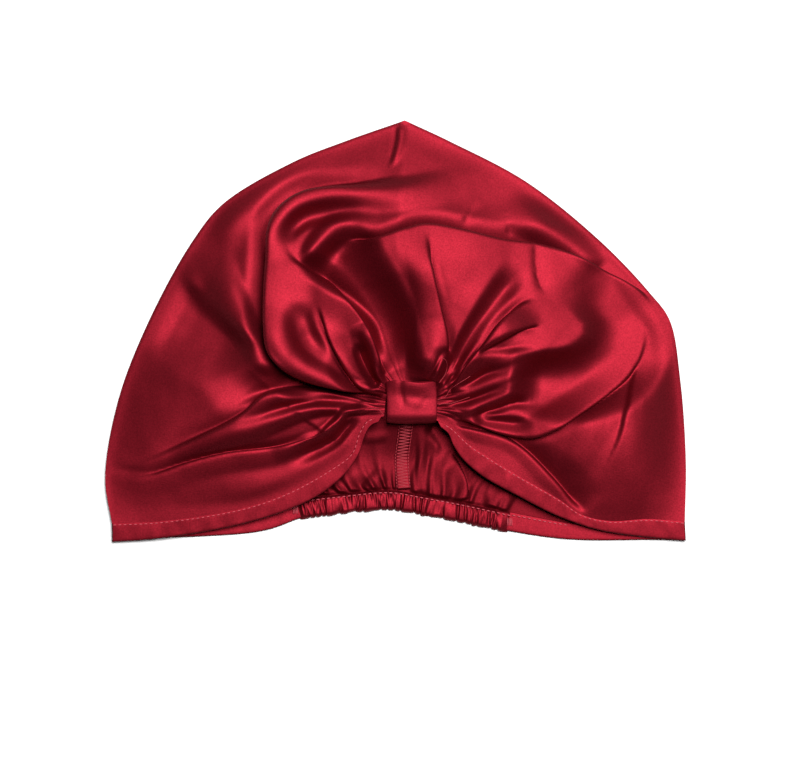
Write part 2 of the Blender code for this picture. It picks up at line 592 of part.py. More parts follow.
def build():
    for old in list(bpy.data.objects):
        bpy.data.objects.remove(old)
    silk = satin("silk_satin", SILK_RED, 0.38)
    thread = satin("overlocked_seam", SEAM_RED, 0.6)
    casing_start, casing_end = CASING_SPAN
    apart = SEAM_GAP / FLAT_WIDTH
    pieces = [
        cloth_piece("crown_front", FRONT_GRID, front_cloth, silk),
        cloth_piece("crown_back", BACK_GRID, back_cloth, silk),
        cloth_piece("front_hem_left", FRONT_HEM_GRID, front_hem(LEFT_LINE, LEFT_EDGE), silk),
        cloth_piece("front_hem_right", FRONT_HEM_GRID, front_hem(RIGHT_LINE, RIGHT_EDGE), silk),
        cloth_piece("back_hem_left", BACK_HEM_GRID, back_hem(0.004, casing_start - apart, True), silk),
        cloth_piece("back_hem_right", BACK_HEM_GRID, back_hem(casing_end + apart, 0.996, False), silk),
        cloth_piece("nape_casing", CASING_GRID, nape_casing, silk),
        cloth_piece("knot_band", BAND_GRID, knot_band, silk),
        cloth_piece("back_seam", SEAM_GRID, back_seam, thread),
    ]
    centre_on_floor(pieces)


build()
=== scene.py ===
# A silk sleep turban: a bag of red satin, gathered into a knot band at the front and
# onto elastic at the nape. It lies on its back, and the camera looks down on the knot.
import math
from collections import namedtuple

import bmesh
import bpy
import numpy as np
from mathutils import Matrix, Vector, noise


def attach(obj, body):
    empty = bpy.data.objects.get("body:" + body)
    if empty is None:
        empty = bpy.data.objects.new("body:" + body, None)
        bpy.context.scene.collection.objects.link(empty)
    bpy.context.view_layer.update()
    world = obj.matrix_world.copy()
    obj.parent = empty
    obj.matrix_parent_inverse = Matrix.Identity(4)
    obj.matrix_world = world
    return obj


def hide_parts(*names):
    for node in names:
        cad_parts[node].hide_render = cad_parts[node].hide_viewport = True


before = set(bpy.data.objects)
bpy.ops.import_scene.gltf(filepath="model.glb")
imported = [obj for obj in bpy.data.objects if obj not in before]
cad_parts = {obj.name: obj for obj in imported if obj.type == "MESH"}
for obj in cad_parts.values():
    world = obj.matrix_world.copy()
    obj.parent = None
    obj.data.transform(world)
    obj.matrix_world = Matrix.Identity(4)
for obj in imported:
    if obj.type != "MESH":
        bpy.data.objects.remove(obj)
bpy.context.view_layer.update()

# The front cloth is one big half-round of silk satin. Its straight edge is gathered
# into the knot, and all the fullness stands over the back cloth as a fan of folds.
# Places are shares in hundredths of the bag's width and length, from its middle.
BAG_WIDTH = 0.2925
BAG_LENGTH = 0.213
SATIN_RED = (0.12, 0.0052, 0.0100, 1.0)
FRONT_CUT = (0.60, 0.17)
FRONT_GRID = (420, 208)
OUTWARD = 1.25

# How high the bag puffs up, and how it comes down to the side folds.
PUFF = 0.0245
SIDE_REACH = 0.066
SIDE_EASE = 0.006
SIDE_ROUND = 0.0005
SIDE_HEIGHT = 0.0008
# The knot's place and height, how far round it the cloth comes down, and its band.
KNOT_PLACE = (2.65, -16.8)
KNOT_HEIGHT = 0.0155
KNOT_REACH = 0.040
BAND_WIDTH = 0.025
BAND_DEPTH = 0.021
# The hem's height at the corners, how far in it holds the cloth down, and how steeply
# the cloth climbs from it: everywhere, towards the corners, and towards the right one.
CORNER_HEIGHT = 0.0042
HEM_REACH = 0.040
HEM_SLOPE = 0.01
CORNER_SLOPE = 0.24
RIGHT_SLOPE = 0.20
SLOPE_REACH = 0.030
# A full fold's height and width, how far its crest leans over, and how much a crisp
# hollow is pinched together.
FOLD_HEIGHT = 0.015
FOLD_REACH = 0.010
FOLD_LEAN = 0.25
CRISP_HOLLOW = 0.25
CREASE_PINCH = 0.14
PINCH_REACH = 0.008
# How wide an edge's wall is, and how far its high side hangs over the low one.
EDGE_STEP = 0.0013
EDGE_PUSH = 0.0042
# Fine gathers round the knot. They start and end at a distance from its middle, each
# over a length.
FINE_GATHERS = 25
GATHER_HEIGHT = 0.0012
GATHER_START = (0.008, 0.005)
GATHER_END = (0.014, 0.022)
# Folds and edges grow over these lengths from the knot, the side folds and the hem.
KNOT_FADE = 0.012
FOLD_FADE = (0.014, 0.009)
EDGE_FADE = (0.005, 0.004)
RIPPLE_HEIGHT = 0.0011
SETTLING = 2

LEFT_SIDE = (
    (-48.8, -45.5), (-50.0, -34.5), (-47.8, -16.2), (-42.5, 2.6), (-35.0, 21.4),
    (-29.7, 30.3), (-17.7, 40.1), (-8.6, 45.1), (1.6, 50.0),
)
RIGHT_SIDE = (
    (1.6, 50.0), (9.7, 44.8), (22.6, 35.4), (35.3, 21.4), (43.8, 9.2), (47.3, 2.6),
    (49.1, -11.5), (50.0, -30.3), (49.8, -45.1),
)
LEFT_STITCHING = (
    (-2.0, -20.0), (-4.7, -20.9), (-6.1, -23.7), (-7.4, -28.6), (-11.2, -32.6),
    (-18.0, -37.8), (-24.9, -41.3), (-33.4, -43.7), (-42.0, -45.1), (-48.8, -45.5),
)
RIGHT_STITCHING = (
    (6.9, -20.9), (9.3, -22.5), (12.7, -26.8), (20.4, -33.6), (28.1, -39.7),
    (31.9, -43.2), (36.7, -44.8), (43.5, -44.4), (49.8, -45.1),
)
KNOT_MOUTH = (
    (-0.90, -0.60), (-0.96, 0.10), (-0.84, 0.62), (-0.42, 0.80), (0.00, 0.84),
    (0.42, 0.80), (0.84, 0.62), (0.96, 0.10), (0.88, -0.64),
)

# A fold follows path. Its height is a share of FOLD_HEIGHT, below zero for a hollow,
# and left and right are its widths at both ends, as shares of FOLD_REACH. It rises
# and falls over these shares of its length. One with rise 0 leaves the knot at 0.4 of
# its height. crisp goes from 0, round, to 1, creased. A crest leans to its narrow side.
Fold = namedtuple("Fold", "path height left right rise fall crisp")
# An edge is a fold that lies over the cloth beside it. The cloth on this side of its
# path stands up by high over a width of over, and hangs out a little over the other
# side's, which sinks by low over a width of under.
Edge = namedtuple("Edge", "path side high low over under rise fall")

FRONT_FOLDS = {
    "left_lobe": Fold(((-16.3, -4.9), (-24.9, -4.5), (-33.4, -4.9), (-40.3, -3.3)),
        0.14, (2.0, 2.8), (2.4, 2.6), 0.3, 0.5, 0.0),
    "left_low": Fold(
        ((-33.4, 21.4), (-38.5, 7.3), (-42.0, -6.8)), 0.08, (1.4, 1.8), (2.0, 2.6), 0.3, 0.4, 0.0),
    "crown_left": Fold(((-32.1, 17.6), (-28.6, 27.5), (-23.5, 35.4), (-16.3, 42.0), (-7.8, 46.2)),
        0.2, (1.0, 1.0), (1.4, 1.4), 0.3, 0.4, 0.0),
    "right_lobe": Fold(((28.1, 9.6), (40.1, 4.9), (46.1, -11.5), (46.9, -27.9)),
        0.12, (2.4, 2.4), (2.4, 3.0), 0.3, 0.4, 0.0),
    "mid_front": Fold(
        ((-16.3, 7.3), (4.2, 19.0), (21.3, 14.3)), 0.2, (3.0, 3.0), (3.0, 3.0), 0.3, 0.3, 0.0),
    "cheek_ridge": Fold(
        ((-18.0, -10.6), (-22.1, -6.1), (-25.2, 0.0), (-27.9, 7.5), (-30.2, 15.3), (-31.2, 21.8)),
        0.26, (0.8, 1.5), (0.6, 1.1), 0.15, 0.4, 0.0),
    "cheek_groove": Fold(
        ((-21.8, -8.7), (-25.9, -4.9), (-30.5, -0.2), (-35.1, 4.9), (-38.7, 9.6), (-40.8, 15.3)),
        -0.6, (2.8, 3.4), (0.8, 1.3), 0.35, 0.35, 0.0),
    "left_wedge": Fold(
        ((-3.5, -16.9), (-10.3, -15.7), (-16.3, -14.3), (-21.5, -13.4), (-26.2, -15.7), (-30.7, -19.5)),
        -0.42, (0.3, 0.6), (0.6, 1.8), 0.6, 0.35, 0.0),
    "rope": Fold(
        ((-20.9, 14.8), (-20.3, 23.2), (-17.0, 29.1), (-12.1, 31.7), (-5.6, 32.2), (4.4, 33.6),
         (13.6, 36.9)),
        0.26, (0.5, 0.9), (0.9, 1.3), 0.15, 0.4, 0.0),
    "rope_groove": Fold(
        ((-18.4, 20.0), (-17.5, 23.5), (-15.1, 26.3), (-10.3, 27.9), (-4.9, 28.6), (0.8, 29.3)),
        -0.3, (0.5, 0.9), (0.4, 0.9), 0.2, 0.75, 0.0),
    "pocket_ridge": Fold(((-14.8, 15.3), (-13.4, 20.2), (-10.9, 23.9), (-6.9, 25.6), (-2.0, 26.1)),
        0.24, (0.7, 0.8), (0.9, 0.9), 0.15, 0.45, 0.0),
    "flap_dent": Fold(((-16.0, 7.3), (-15.8, 2.1), (-13.9, -3.3), (-10.9, -7.3)),
        -0.2, (0.7, 0.6), (1.0, 0.8), 0.3, 0.4, 0.0),
    "flap_low_roll": Fold(
        ((-2.3, -14.8), (-7.8, -12.2), (-13.2, -9.4), (-17.7, -5.4), (-19.7, 1.6), (-19.6, 9.6)),
        0.22, (0.4, 0.9), (0.4, 1.0), 0.1, 0.4, 0.0),
    "deep_hollow": Fold(
        ((-0.3, -9.6), (-1.5, -3.5), (-3.2, 2.6), (-6.6, 7.5), (-10.0, 11.0), (-13.2, 14.3),
         (-15.8, 17.4)),
        -1.1, (0.6, 0.8), (1.1, 3.9), 0.3, 0.2, 0.0),
    "centre_ridge": Fold(((4.2, -9.6), (5.0, -2.1), (5.6, 6.1), (4.4, 13.1), (1.8, 20.0), (0.1, 23.7)),
        0.16, (0.8, 1.0), (1.3, 1.4), 0.1, 0.35, 0.0),
    "pleat_head": Fold(((5.4, -12.9), (5.9, -8.2), (6.1, -3.3), (5.9, 3.1)),
        0.5, (1.2, 1.5), (0.9, 1.2), 0.1, 0.7, 0.0),
    "pocket_dark": Fold(((-11.2, 16.2), (-9.1, 19.0), (-6.1, 20.2), (-2.0, 20.9)),
        -0.2, (0.6, 0.5), (0.8, 1.0), 0.2, 0.4, 0.0),
    "teardrop_pleat": Fold(((-2.1, -13.8), (-3.5, -8.2), (-4.7, -3.5), (-6.1, -0.5), (-7.8, -1.2)),
        0.26, (0.3, 0.4), (0.35, 0.45), 0.0, 0.25, 0.0),
    "teardrop_hole": Fold(((-3.0, -12.9), (-5.0, -8.7), (-6.2, -4.9), (-6.4, -2.6)),
        -0.34, (0.3, 0.35), (0.3, 0.35), 0.05, 0.25, 0.4),
    "upper_left_groove": Fold(((-2.0, -16.0), (-6.4, -12.4), (-9.5, -8.2), (-11.5, -4.0)),
        -0.28, (0.3, 0.7), (0.3, 0.7), 0.0, 0.4, 0.3),
    "side_pleat": Fold(
        ((-2.0, -17.1), (-8.6, -15.5), (-14.3, -14.8), (-18.7, -15.5), (-22.8, -17.4), (-26.6, -20.4)),
        0.26, (0.35, 1.0), (0.35, 0.8), 0.0, 0.45, 0.0),
    "side_groove": Fold(((-2.0, -18.1), (-8.6, -16.9), (-14.6, -16.7), (-19.1, -18.1), (-23.5, -20.9)),
        -0.18, (0.2, 0.5), (0.2, 0.5), 0.0, 0.4, 0.2),
    "long_pleat": Fold(
        ((-2.0, -18.5), (-8.6, -17.8), (-14.6, -18.3), (-19.7, -20.4), (-25.7, -23.5), (-32.6, -26.5),
         (-39.4, -29.3)),
        0.26, (0.3, 1.1), (0.25, 0.8), 0.0, 0.4, 0.0),
    "low_crest": Fold(
        ((-13.2, -23.7), (-17.0, -27.2), (-21.5, -29.6)), 0.16, (0.3, 0.5), (0.3, 0.5), 0.3, 0.4, 0.0),
    "low_pleat": Fold(
        ((-2.0, -19.2), (-5.7, -18.8), (-8.5, -19.2), (-10.2, -21.8), (-12.9, -24.9), (-17.0, -27.2)),
        0.3, (0.2, 0.4), (0.25, 0.5), 0.0, 0.4, 0.0),
    "low_shadow": Fold(((-5.7, -20.9), (-7.8, -22.3), (-10.3, -25.6), (-14.3, -28.4), (-18.9, -30.8)),
        -0.3, (0.3, 0.6), (0.35, 0.6), 0.15, 0.4, 0.4),
    "hem_roll_left": Fold(
        ((-5.4, -21.8), (-6.4, -25.6), (-8.6, -28.6), (-12.9, -31.7), (-18.9, -34.5), (-25.7, -36.6),
         (-33.4, -37.8), (-42.0, -38.7)),
        0.06, (0.8, 1.2), (0.6, 1.0), 0.1, 0.4, 0.0),
    "side_tuck": Fold(((-49.1, -32.6), (-42.0, -32.9)), -0.1, (0.2, 0.2), (0.3, 0.3), 0.1, 0.6, 0.6),
    "star_ridge": Fold(((7.6, -14.6), (10.7, -10.1), (14.4, -4.9), (18.7, 0.2), (22.6, 4.5)),
        0.25, (0.3, 0.9), (0.3, 0.9), 0.0, 0.3, 0.0),
    "steep_groove": Fold(((8.8, -13.4), (11.0, -5.4), (14.3, 2.1), (17.7, 8.2), (22.0, 15.3)),
        -0.36, (0.4, 1.0), (0.3, 0.8), 0.1, 0.25, 0.2),
    "star_crease": Fold(((23.8, 20.0), (23.8, 16.2), (24.5, 11.5), (25.7, 8.2)),
        -0.06, (0.8, 0.8), (0.25, 0.3), 0.2, 0.3, 0.4),
    "right_brow": Fold(((17.9, 30.8), (28.1, 22.8), (36.0, 16.2), (41.8, 10.1)),
        0.26, (1.4, 1.4), (1.2, 1.2), 0.3, 0.3, 0.0),
    "fan_roll": Fold(((7.3, -15.0), (11.4, -11.0), (14.8, -7.5), (19.9, -6.3), (25.6, -7.0)),
        0.25, (0.3, 0.7), (0.3, 1.1), 0.0, 0.3, 0.0),
    "right_valley": Fold(
        ((19.2, -10.1), (25.6, -11.3), (32.2, -10.8), (37.9, -6.3), (40.4, 2.1), (38.9, 10.1),
         (36.3, 15.7), (33.8, 19.7)),
        -1.5, (1.2, 3.4), (2.0, 3.2), 0.15, 0.3, 0.0),
    "right_pleat": Fold(
        ((7.3, -16.9), (11.9, -14.6), (16.5, -12.2), (21.3, -10.6), (26.1, -9.4), (29.8, -9.4)),
        0.26, (0.3, 1.0), (0.35, 0.9), 0.0, 0.5, 0.0),
    "leaf_pleat": Fold(
        ((7.3, -19.2), (12.7, -18.1), (17.2, -16.0), (20.9, -14.3), (25.6, -14.3), (29.1, -15.7)),
        0.3, (0.3, 0.9), (0.3, 0.9), 0.0, 0.4, 0.0),
    "leaf_pocket": Fold(((12.7, -20.0), (16.5, -18.5), (20.3, -16.7), (23.7, -16.9)),
        -0.3, (0.3, 0.5), (0.3, 0.5), 0.2, 0.35, 0.4),
    "arc_pocket": Fold(((13.4, -20.0), (16.8, -20.9), (20.6, -21.6), (23.7, -21.8)),
        -0.34, (0.25, 0.4), (0.3, 0.5), 0.2, 0.35, 0.3),
    "soft_slant": Fold(
        ((30.2, -34.5), (32.9, -23.7), (35.0, -18.1)), 0.06, (0.9, 0.9), (1.1, 1.1), 0.3, 0.3, 0.0),
    "ridge_pleat": Fold(
        ((6.4, -11.3), (7.8, -8.2), (9.0, -4.9)), 0.22, (0.25, 0.4), (0.2, 0.3), 0.0, 0.3, 0.0),
    "corner_pleat": Fold(
        ((7.3, -13.8), (9.3, -10.1), (11.0, -6.3)), 0.18, (0.16, 0.3), (0.16, 0.3), 0.0, 0.4, 0.0),
    "nick_left": Fold(
        ((11.4, 24.2), (12.7, 27.5), (14.6, 30.8)), -0.06, (0.25, 0.3), (0.5, 0.6), 0.3, 0.5, 0.4),
    "nick_right": Fold(((19.4, 22.3), (19.7, 26.1)), -0.05, (0.15, 0.2), (0.3, 0.5), 0.2, 0.5, 0.4),
}
FRONT_EDGES = {
    "hook": Edge(
        ((-2.3, -15.0), (-7.4, -14.1), (-11.9, -12.9), (-15.6, -11.5), (-18.9, -9.2), (-21.6, -4.9),
         (-22.3, 1.4), (-22.3, 10.1), (-22.0, 17.6), (-21.8, 23.5), (-20.8, 27.5), (-18.4, 30.8),
         (-15.1, 33.1), (-10.7, 34.0), (-6.4, 34.5), (-2.1, 35.4), (1.1, 36.9)),
        "right", 0.34, 0.95, (2.2, 2.6), (1.5, 1.1), 0.1, 0.3),
    "flap_edge": Edge(
        ((-1.6, -10.6), (-3.0, -5.6), (-4.2, -0.9), (-6.2, 3.5), (-8.8, 8.0), (-11.5, 11.7),
         (-14.8, 14.3), (-17.4, 17.1), (-18.7, 20.7)),
        "left", 0.12, 0.5, (1.0, 1.6), (0.7, 1.4), 0.12, 0.4),
    "flap_top": Edge(
        ((-9.1, 21.4), (-3.2, 21.6), (1.1, 23.5), (5.0, 24.9), (11.0, 23.7), (18.2, 21.4), (24.2, 20.4),
         (31.4, 17.4), (36.7, 13.6), (41.8, 10.1), (45.2, 6.3)),
        "right", 0.2, 0.6, (2.6, 2.4), (0.8, 1.6), 0.12, 0.15),
    "centre_edge": Edge(((9.1, -6.8), (8.8, -0.9), (7.8, 4.9), (6.8, 10.8), (5.9, 17.1), (5.2, 22.3)),
        "left", 0.14, 0.24, (1.0, 1.3), (0.7, 0.6), 0.12, 0.3),
    "steep_edge": Edge(
        ((9.1, -14.6), (11.5, -9.2), (14.8, -3.1), (18.0, 2.3), (21.6, 6.3), (24.2, 7.7)),
        "right", 0.28, 0.55, (0.6, 1.8), (0.5, 1.6), 0.08, 0.35),
    "fan_edge": Edge(((14.1, -6.6), (17.7, -3.1), (22.3, 0.5), (25.2, 1.6)),
        "left", 0.16, 0.26, (0.5, 1.0), (0.35, 0.7), 0.2, 0.3),
    "arc_edge": Edge(
        ((9.7, -20.4), (13.4, -21.8), (18.2, -24.2), (23.5, -25.1), (27.4, -23.2), (31.4, -19.7),
         (36.7, -14.8), (40.6, -9.9), (42.8, -3.5), (43.2, 3.1)),
        "left", 0.26, 0.22, (0.8, 1.8), (0.5, 1.0), 0.1, 0.45),
    "hem_flap": Edge(
        ((10.0, -22.1), (13.4, -23.0), (18.7, -24.9), (22.1, -27.7), (26.9, -34.3), (30.3, -39.7),
         (32.9, -43.4)),
        "right", 0.05, 0.42, (0.6, 0.8), (0.6, 2.0), 0.12, 0.15),
    "bundle_top": Edge(
        ((-2.0, -17.4), (-8.1, -15.3), (-13.2, -13.8), (-18.4, -13.4), (-22.1, -14.6), (-25.9, -19.0),
         (-31.2, -23.2), (-37.9, -27.5), (-43.7, -30.8), (-49.1, -31.9)),
        "left", 0.18, 0.3, (0.5, 1.2), (0.5, 1.4), 0.08, 0.6),
    "bundle_crease": Edge(
        ((-8.5, -19.2), (-10.9, -21.4), (-13.2, -24.2), (-19.7, -27.0), (-29.1, -28.6), (-36.0, -31.0),
         (-42.0, -33.8), (-49.1, -35.0)),
        "left", 0.1, 0.24, (0.8, 1.2), (0.5, 0.8), 0.15, 0.35),
    "peak_tuck": Edge(((0.3, 50.2), (0.3, 46.0), (-0.3, 42.0), (-1.1, 38.3)),
        "left", 0.14, 0.14, (0.5, 0.3), (0.3, 0.2), 0.02, 0.3),
    "leaf_edge": Edge(((-2.0, -16.0), (-6.1, -12.7), (-9.3, -7.3), (-11.4, -1.6), (-13.4, 6.6)),
        "right", 0.18, 0.22, (0.5, 1.2), (0.3, 0.6), 0.08, 0.35),
}


def placed(shares):
    """Places given in hundredths of the bag's width and length, in metres."""
    return np.asarray(shares, float) * (BAG_WIDTH / 100, BAG_LENGTH / 100)


def eased(share):
    """0 below 0, 1 above 1, and a smooth rise between."""
    share = np.clip(share, 0.0, 1.0)
    return share * share * (3.0 - 2.0 * share)


def evenly(line, steps):
    """The same line with steps + 1 points at equal distances along it."""
    length = np.concatenate([[0.0], np.cumsum(np.linalg.norm(np.diff(line, axis=0), axis=1))])
    wanted = np.linspace(0.0, length[-1], steps + 1)
    return np.stack([np.interp(wanted, length, column) for column in line.T], axis=-1)


def smooth_line(points, steps):
    """A Catmull-Rom curve through points, with steps + 1 points at equal distances."""
    points = np.asarray(points, float)
    ends = np.vstack([2 * points[0] - points[1], points, 2 * points[-1] - points[-2]])
    knots = np.concatenate([[0.0], np.cumsum(np.sqrt(np.linalg.norm(np.diff(ends, axis=0), axis=1)))])
    drawn = []
    for i in range(1, len(points)):
        t0, t1, t2, t3 = knots[i - 1:i + 3]
        p0, p1, p2, p3 = ends[i - 1:i + 3]
        t = np.linspace(t1, t2, 16)[:, None]
        a1 = ((t1 - t) * p0 + (t - t0) * p1) / (t1 - t0)
        a2 = ((t2 - t) * p1 + (t - t1) * p2) / (t2 - t1)
        a3 = ((t3 - t) * p2 + (t - t2) * p3) / (t3 - t2)
        b1 = ((t2 - t) * a1 + (t - t0) * a2) / (t2 - t0)
        b2 = ((t3 - t) * a2 + (t - t1) * a3) / (t3 - t1)
        drawn.append(((t2 - t) * b1 + (t - t1) * b2) / (t2 - t1))
    return evenly(np.vstack(drawn), steps)


def at_share(line, share):
    """The point at that share of an evenly divided line."""
    shares = np.linspace(0.0, 1.0, len(line))
    return np.stack([np.interp(share, shares, column) for column in line.T], axis=-1)


def beside(places, line):
    """For each place: its distance from the line, the share along it, and the way left.

    The distance is positive to the left of the line.
    """
    nearest = np.full(len(places), np.inf)
    along = np.zeros(len(places))
    side = np.ones(len(places))
    left = np.zeros((len(places), 2))
    for i, (start, end) in enumerate(zip(line[:-1], line[1:])):
        step, away = end - start, places - start
        share = np.clip(away @ step / (step @ step), 0.0, 1.0)
        distance = np.linalg.norm(away - share[:, None] * step, axis=1)
        closer = distance < nearest
        nearest[closer] = distance[closer]
        along[closer] = (i + share[closer]) / (len(line) - 1)
        turned = step[0] * away[:, 1] - step[1] * away[:, 0]
        side[closer] = np.where(turned[closer] < 0, -1.0, 1.0)
        left[closer] = np.array((-step[1], step[0])) / np.linalg.norm(step)
    return nearest * side, along, left


def fold_parts(places, fold, widest):
    """Which places are near a fold's path, what beside says of them, and how full it is."""
    line = smooth_line(placed(fold.path), 7 * (len(fold.path) - 1))
    reach = FOLD_REACH * widest
    low, high = line.min(axis=0) - reach, line.max(axis=0) + reach
    near = np.flatnonzero(np.all((places > low) & (places < high), axis=1))
    distance, along, left_way = beside(places[near], line)
    starts = eased(along / fold.rise) if fold.rise else 0.4 + 0.6 * eased(along / 0.3)
    return near, distance, along, left_way, starts * eased((1 - along) / fold.fall)


def width_at(ends, along):
    """A fold's width at these shares along it, from its widths at both ends."""
    return FOLD_REACH * (ends[0] + (ends[1] - ends[0]) * along)


def soft_folds(places, folds):
    """How far folds raise or sink the cloth at each place, and how far they move it sideways."""
    raised, lean = np.zeros(len(places)), np.zeros((len(places), 2))
    for fold in folds.values():
        widest = max(fold.left + fold.right)
        near, distance, along, left_way, full = fold_parts(places, fold, widest)
        left, right = width_at(fold.left, along), width_at(fold.right, along)
        width = np.where(distance > 0, left, right)
        out = np.clip(np.abs(distance) / width, 0.0, 1.0)
        round_form = (1 - out**2.3) ** 2.2 if fold.height > 0 else (1 - out**2) ** 2
        form = (1 - fold.crisp) * round_form + fold.crisp * (1 - out) ** 2
        height = FOLD_HEIGHT * fold.height * full * form
        raised[near] += height
        if fold.height > 0:
            lean[near] += left_way * (FOLD_LEAN * height * (right - left) / (right + left))[:, None]
        elif fold.crisp > CRISP_HOLLOW:
            pull = CREASE_PINCH * np.minimum(width, PINCH_REACH) * full * np.sign(distance)
            lean[near] -= left_way * (pull * np.clip(1 - out / 0.35, 0, 1) ** 2)[:, None]
    return raised, lean


def edge_folds(places, edges):
    """The same for edges: a wall, and the high side pushed out over the low one, to hide it."""
    raised, lean = np.zeros(len(places)), np.zeros((len(places), 2))
    for edge in edges.values():
        widest = max(edge.over + edge.under)
        near, distance, along, left_way, full = fold_parts(places, edge, widest)
        side = 1.0 if edge.side == "left" else -1.0
        over, under = width_at(edge.over, along), width_at(edge.under, along)
        push = np.minimum(EDGE_PUSH, 0.35 * over) * full
        inward = side * distance - 0.4 * push
        wall = eased(0.5 + 0.5 * inward / EDGE_STEP)
        above = (1 - np.clip(inward / over, 0, 1) ** 2) ** 2.2
        below = (1 - np.clip(-inward / under, 0, 1)) ** 2
        form = edge.high * wall * above - edge.low * (1 - wall) * below
        raised[near] += FOLD_HEIGHT * full * form
        push = push * wall * (1 - np.clip(inward / (0.8 * over), 0, 1)) ** 2
        lean[near] -= side * left_way * push[:, None]
    return raised, lean


def settled(grid, times):
    """A grid of heights or points, each drawn to its neighbours, as cloth rounds off creases."""
    for _ in range(times):
        grid[1:-1, 1:-1] = 0.5 * grid[1:-1, 1:-1] + 0.25 * (grid[:-2, 1:-1] + grid[2:, 1:-1])
        grid[1:-1, 1:-1] = 0.5 * grid[1:-1, 1:-1] + 0.25 * (grid[1:-1, :-2] + grid[1:-1, 2:])
    return grid


left_side = smooth_line(placed(LEFT_SIDE), 200)
right_side = smooth_line(placed(RIGHT_SIDE), 200)
outline = evenly(np.vstack([left_side, right_side[1:]]), 800)
left_stitching = smooth_line(placed(LEFT_STITCHING), 200)
right_stitching = smooth_line(placed(RIGHT_STITCHING), 200)
knot_place = placed(KNOT_PLACE)
knot_mouth = smooth_line(knot_place + np.array(KNOT_MOUTH) * (BAND_WIDTH / 2, BAND_DEPTH / 2), 400)


def grid_shares(columns, rows):
    """The share along and the share across for every point of a grid, in the grid's order."""
    along, across = np.arange(columns + 1) / columns, np.arange(rows + 1) / rows
    along, across = np.meshgrid(along, across, indexing="ij")
    return along.ravel(), across.ravel()


def as_grid(columns, rows, *parts):
    """Columns of numbers side by side, as the grid of points that they stand for."""
    return np.column_stack(parts).reshape(columns + 1, rows + 1, 3)


def wavering(x, y, z):
    """Smooth noise, from -1 to 1, at places given by arrays or single numbers."""
    return np.array([noise.noise(Vector(place)) for place in zip(*np.broadcast_arrays(x, y, z))])


def above_back(raised, room):
    """The same rises, with the hollows slowed so that none goes deeper than its room."""
    return np.where(raised < 0, room * (np.exp(np.minimum(raised, 0) / room) - 1), raised)


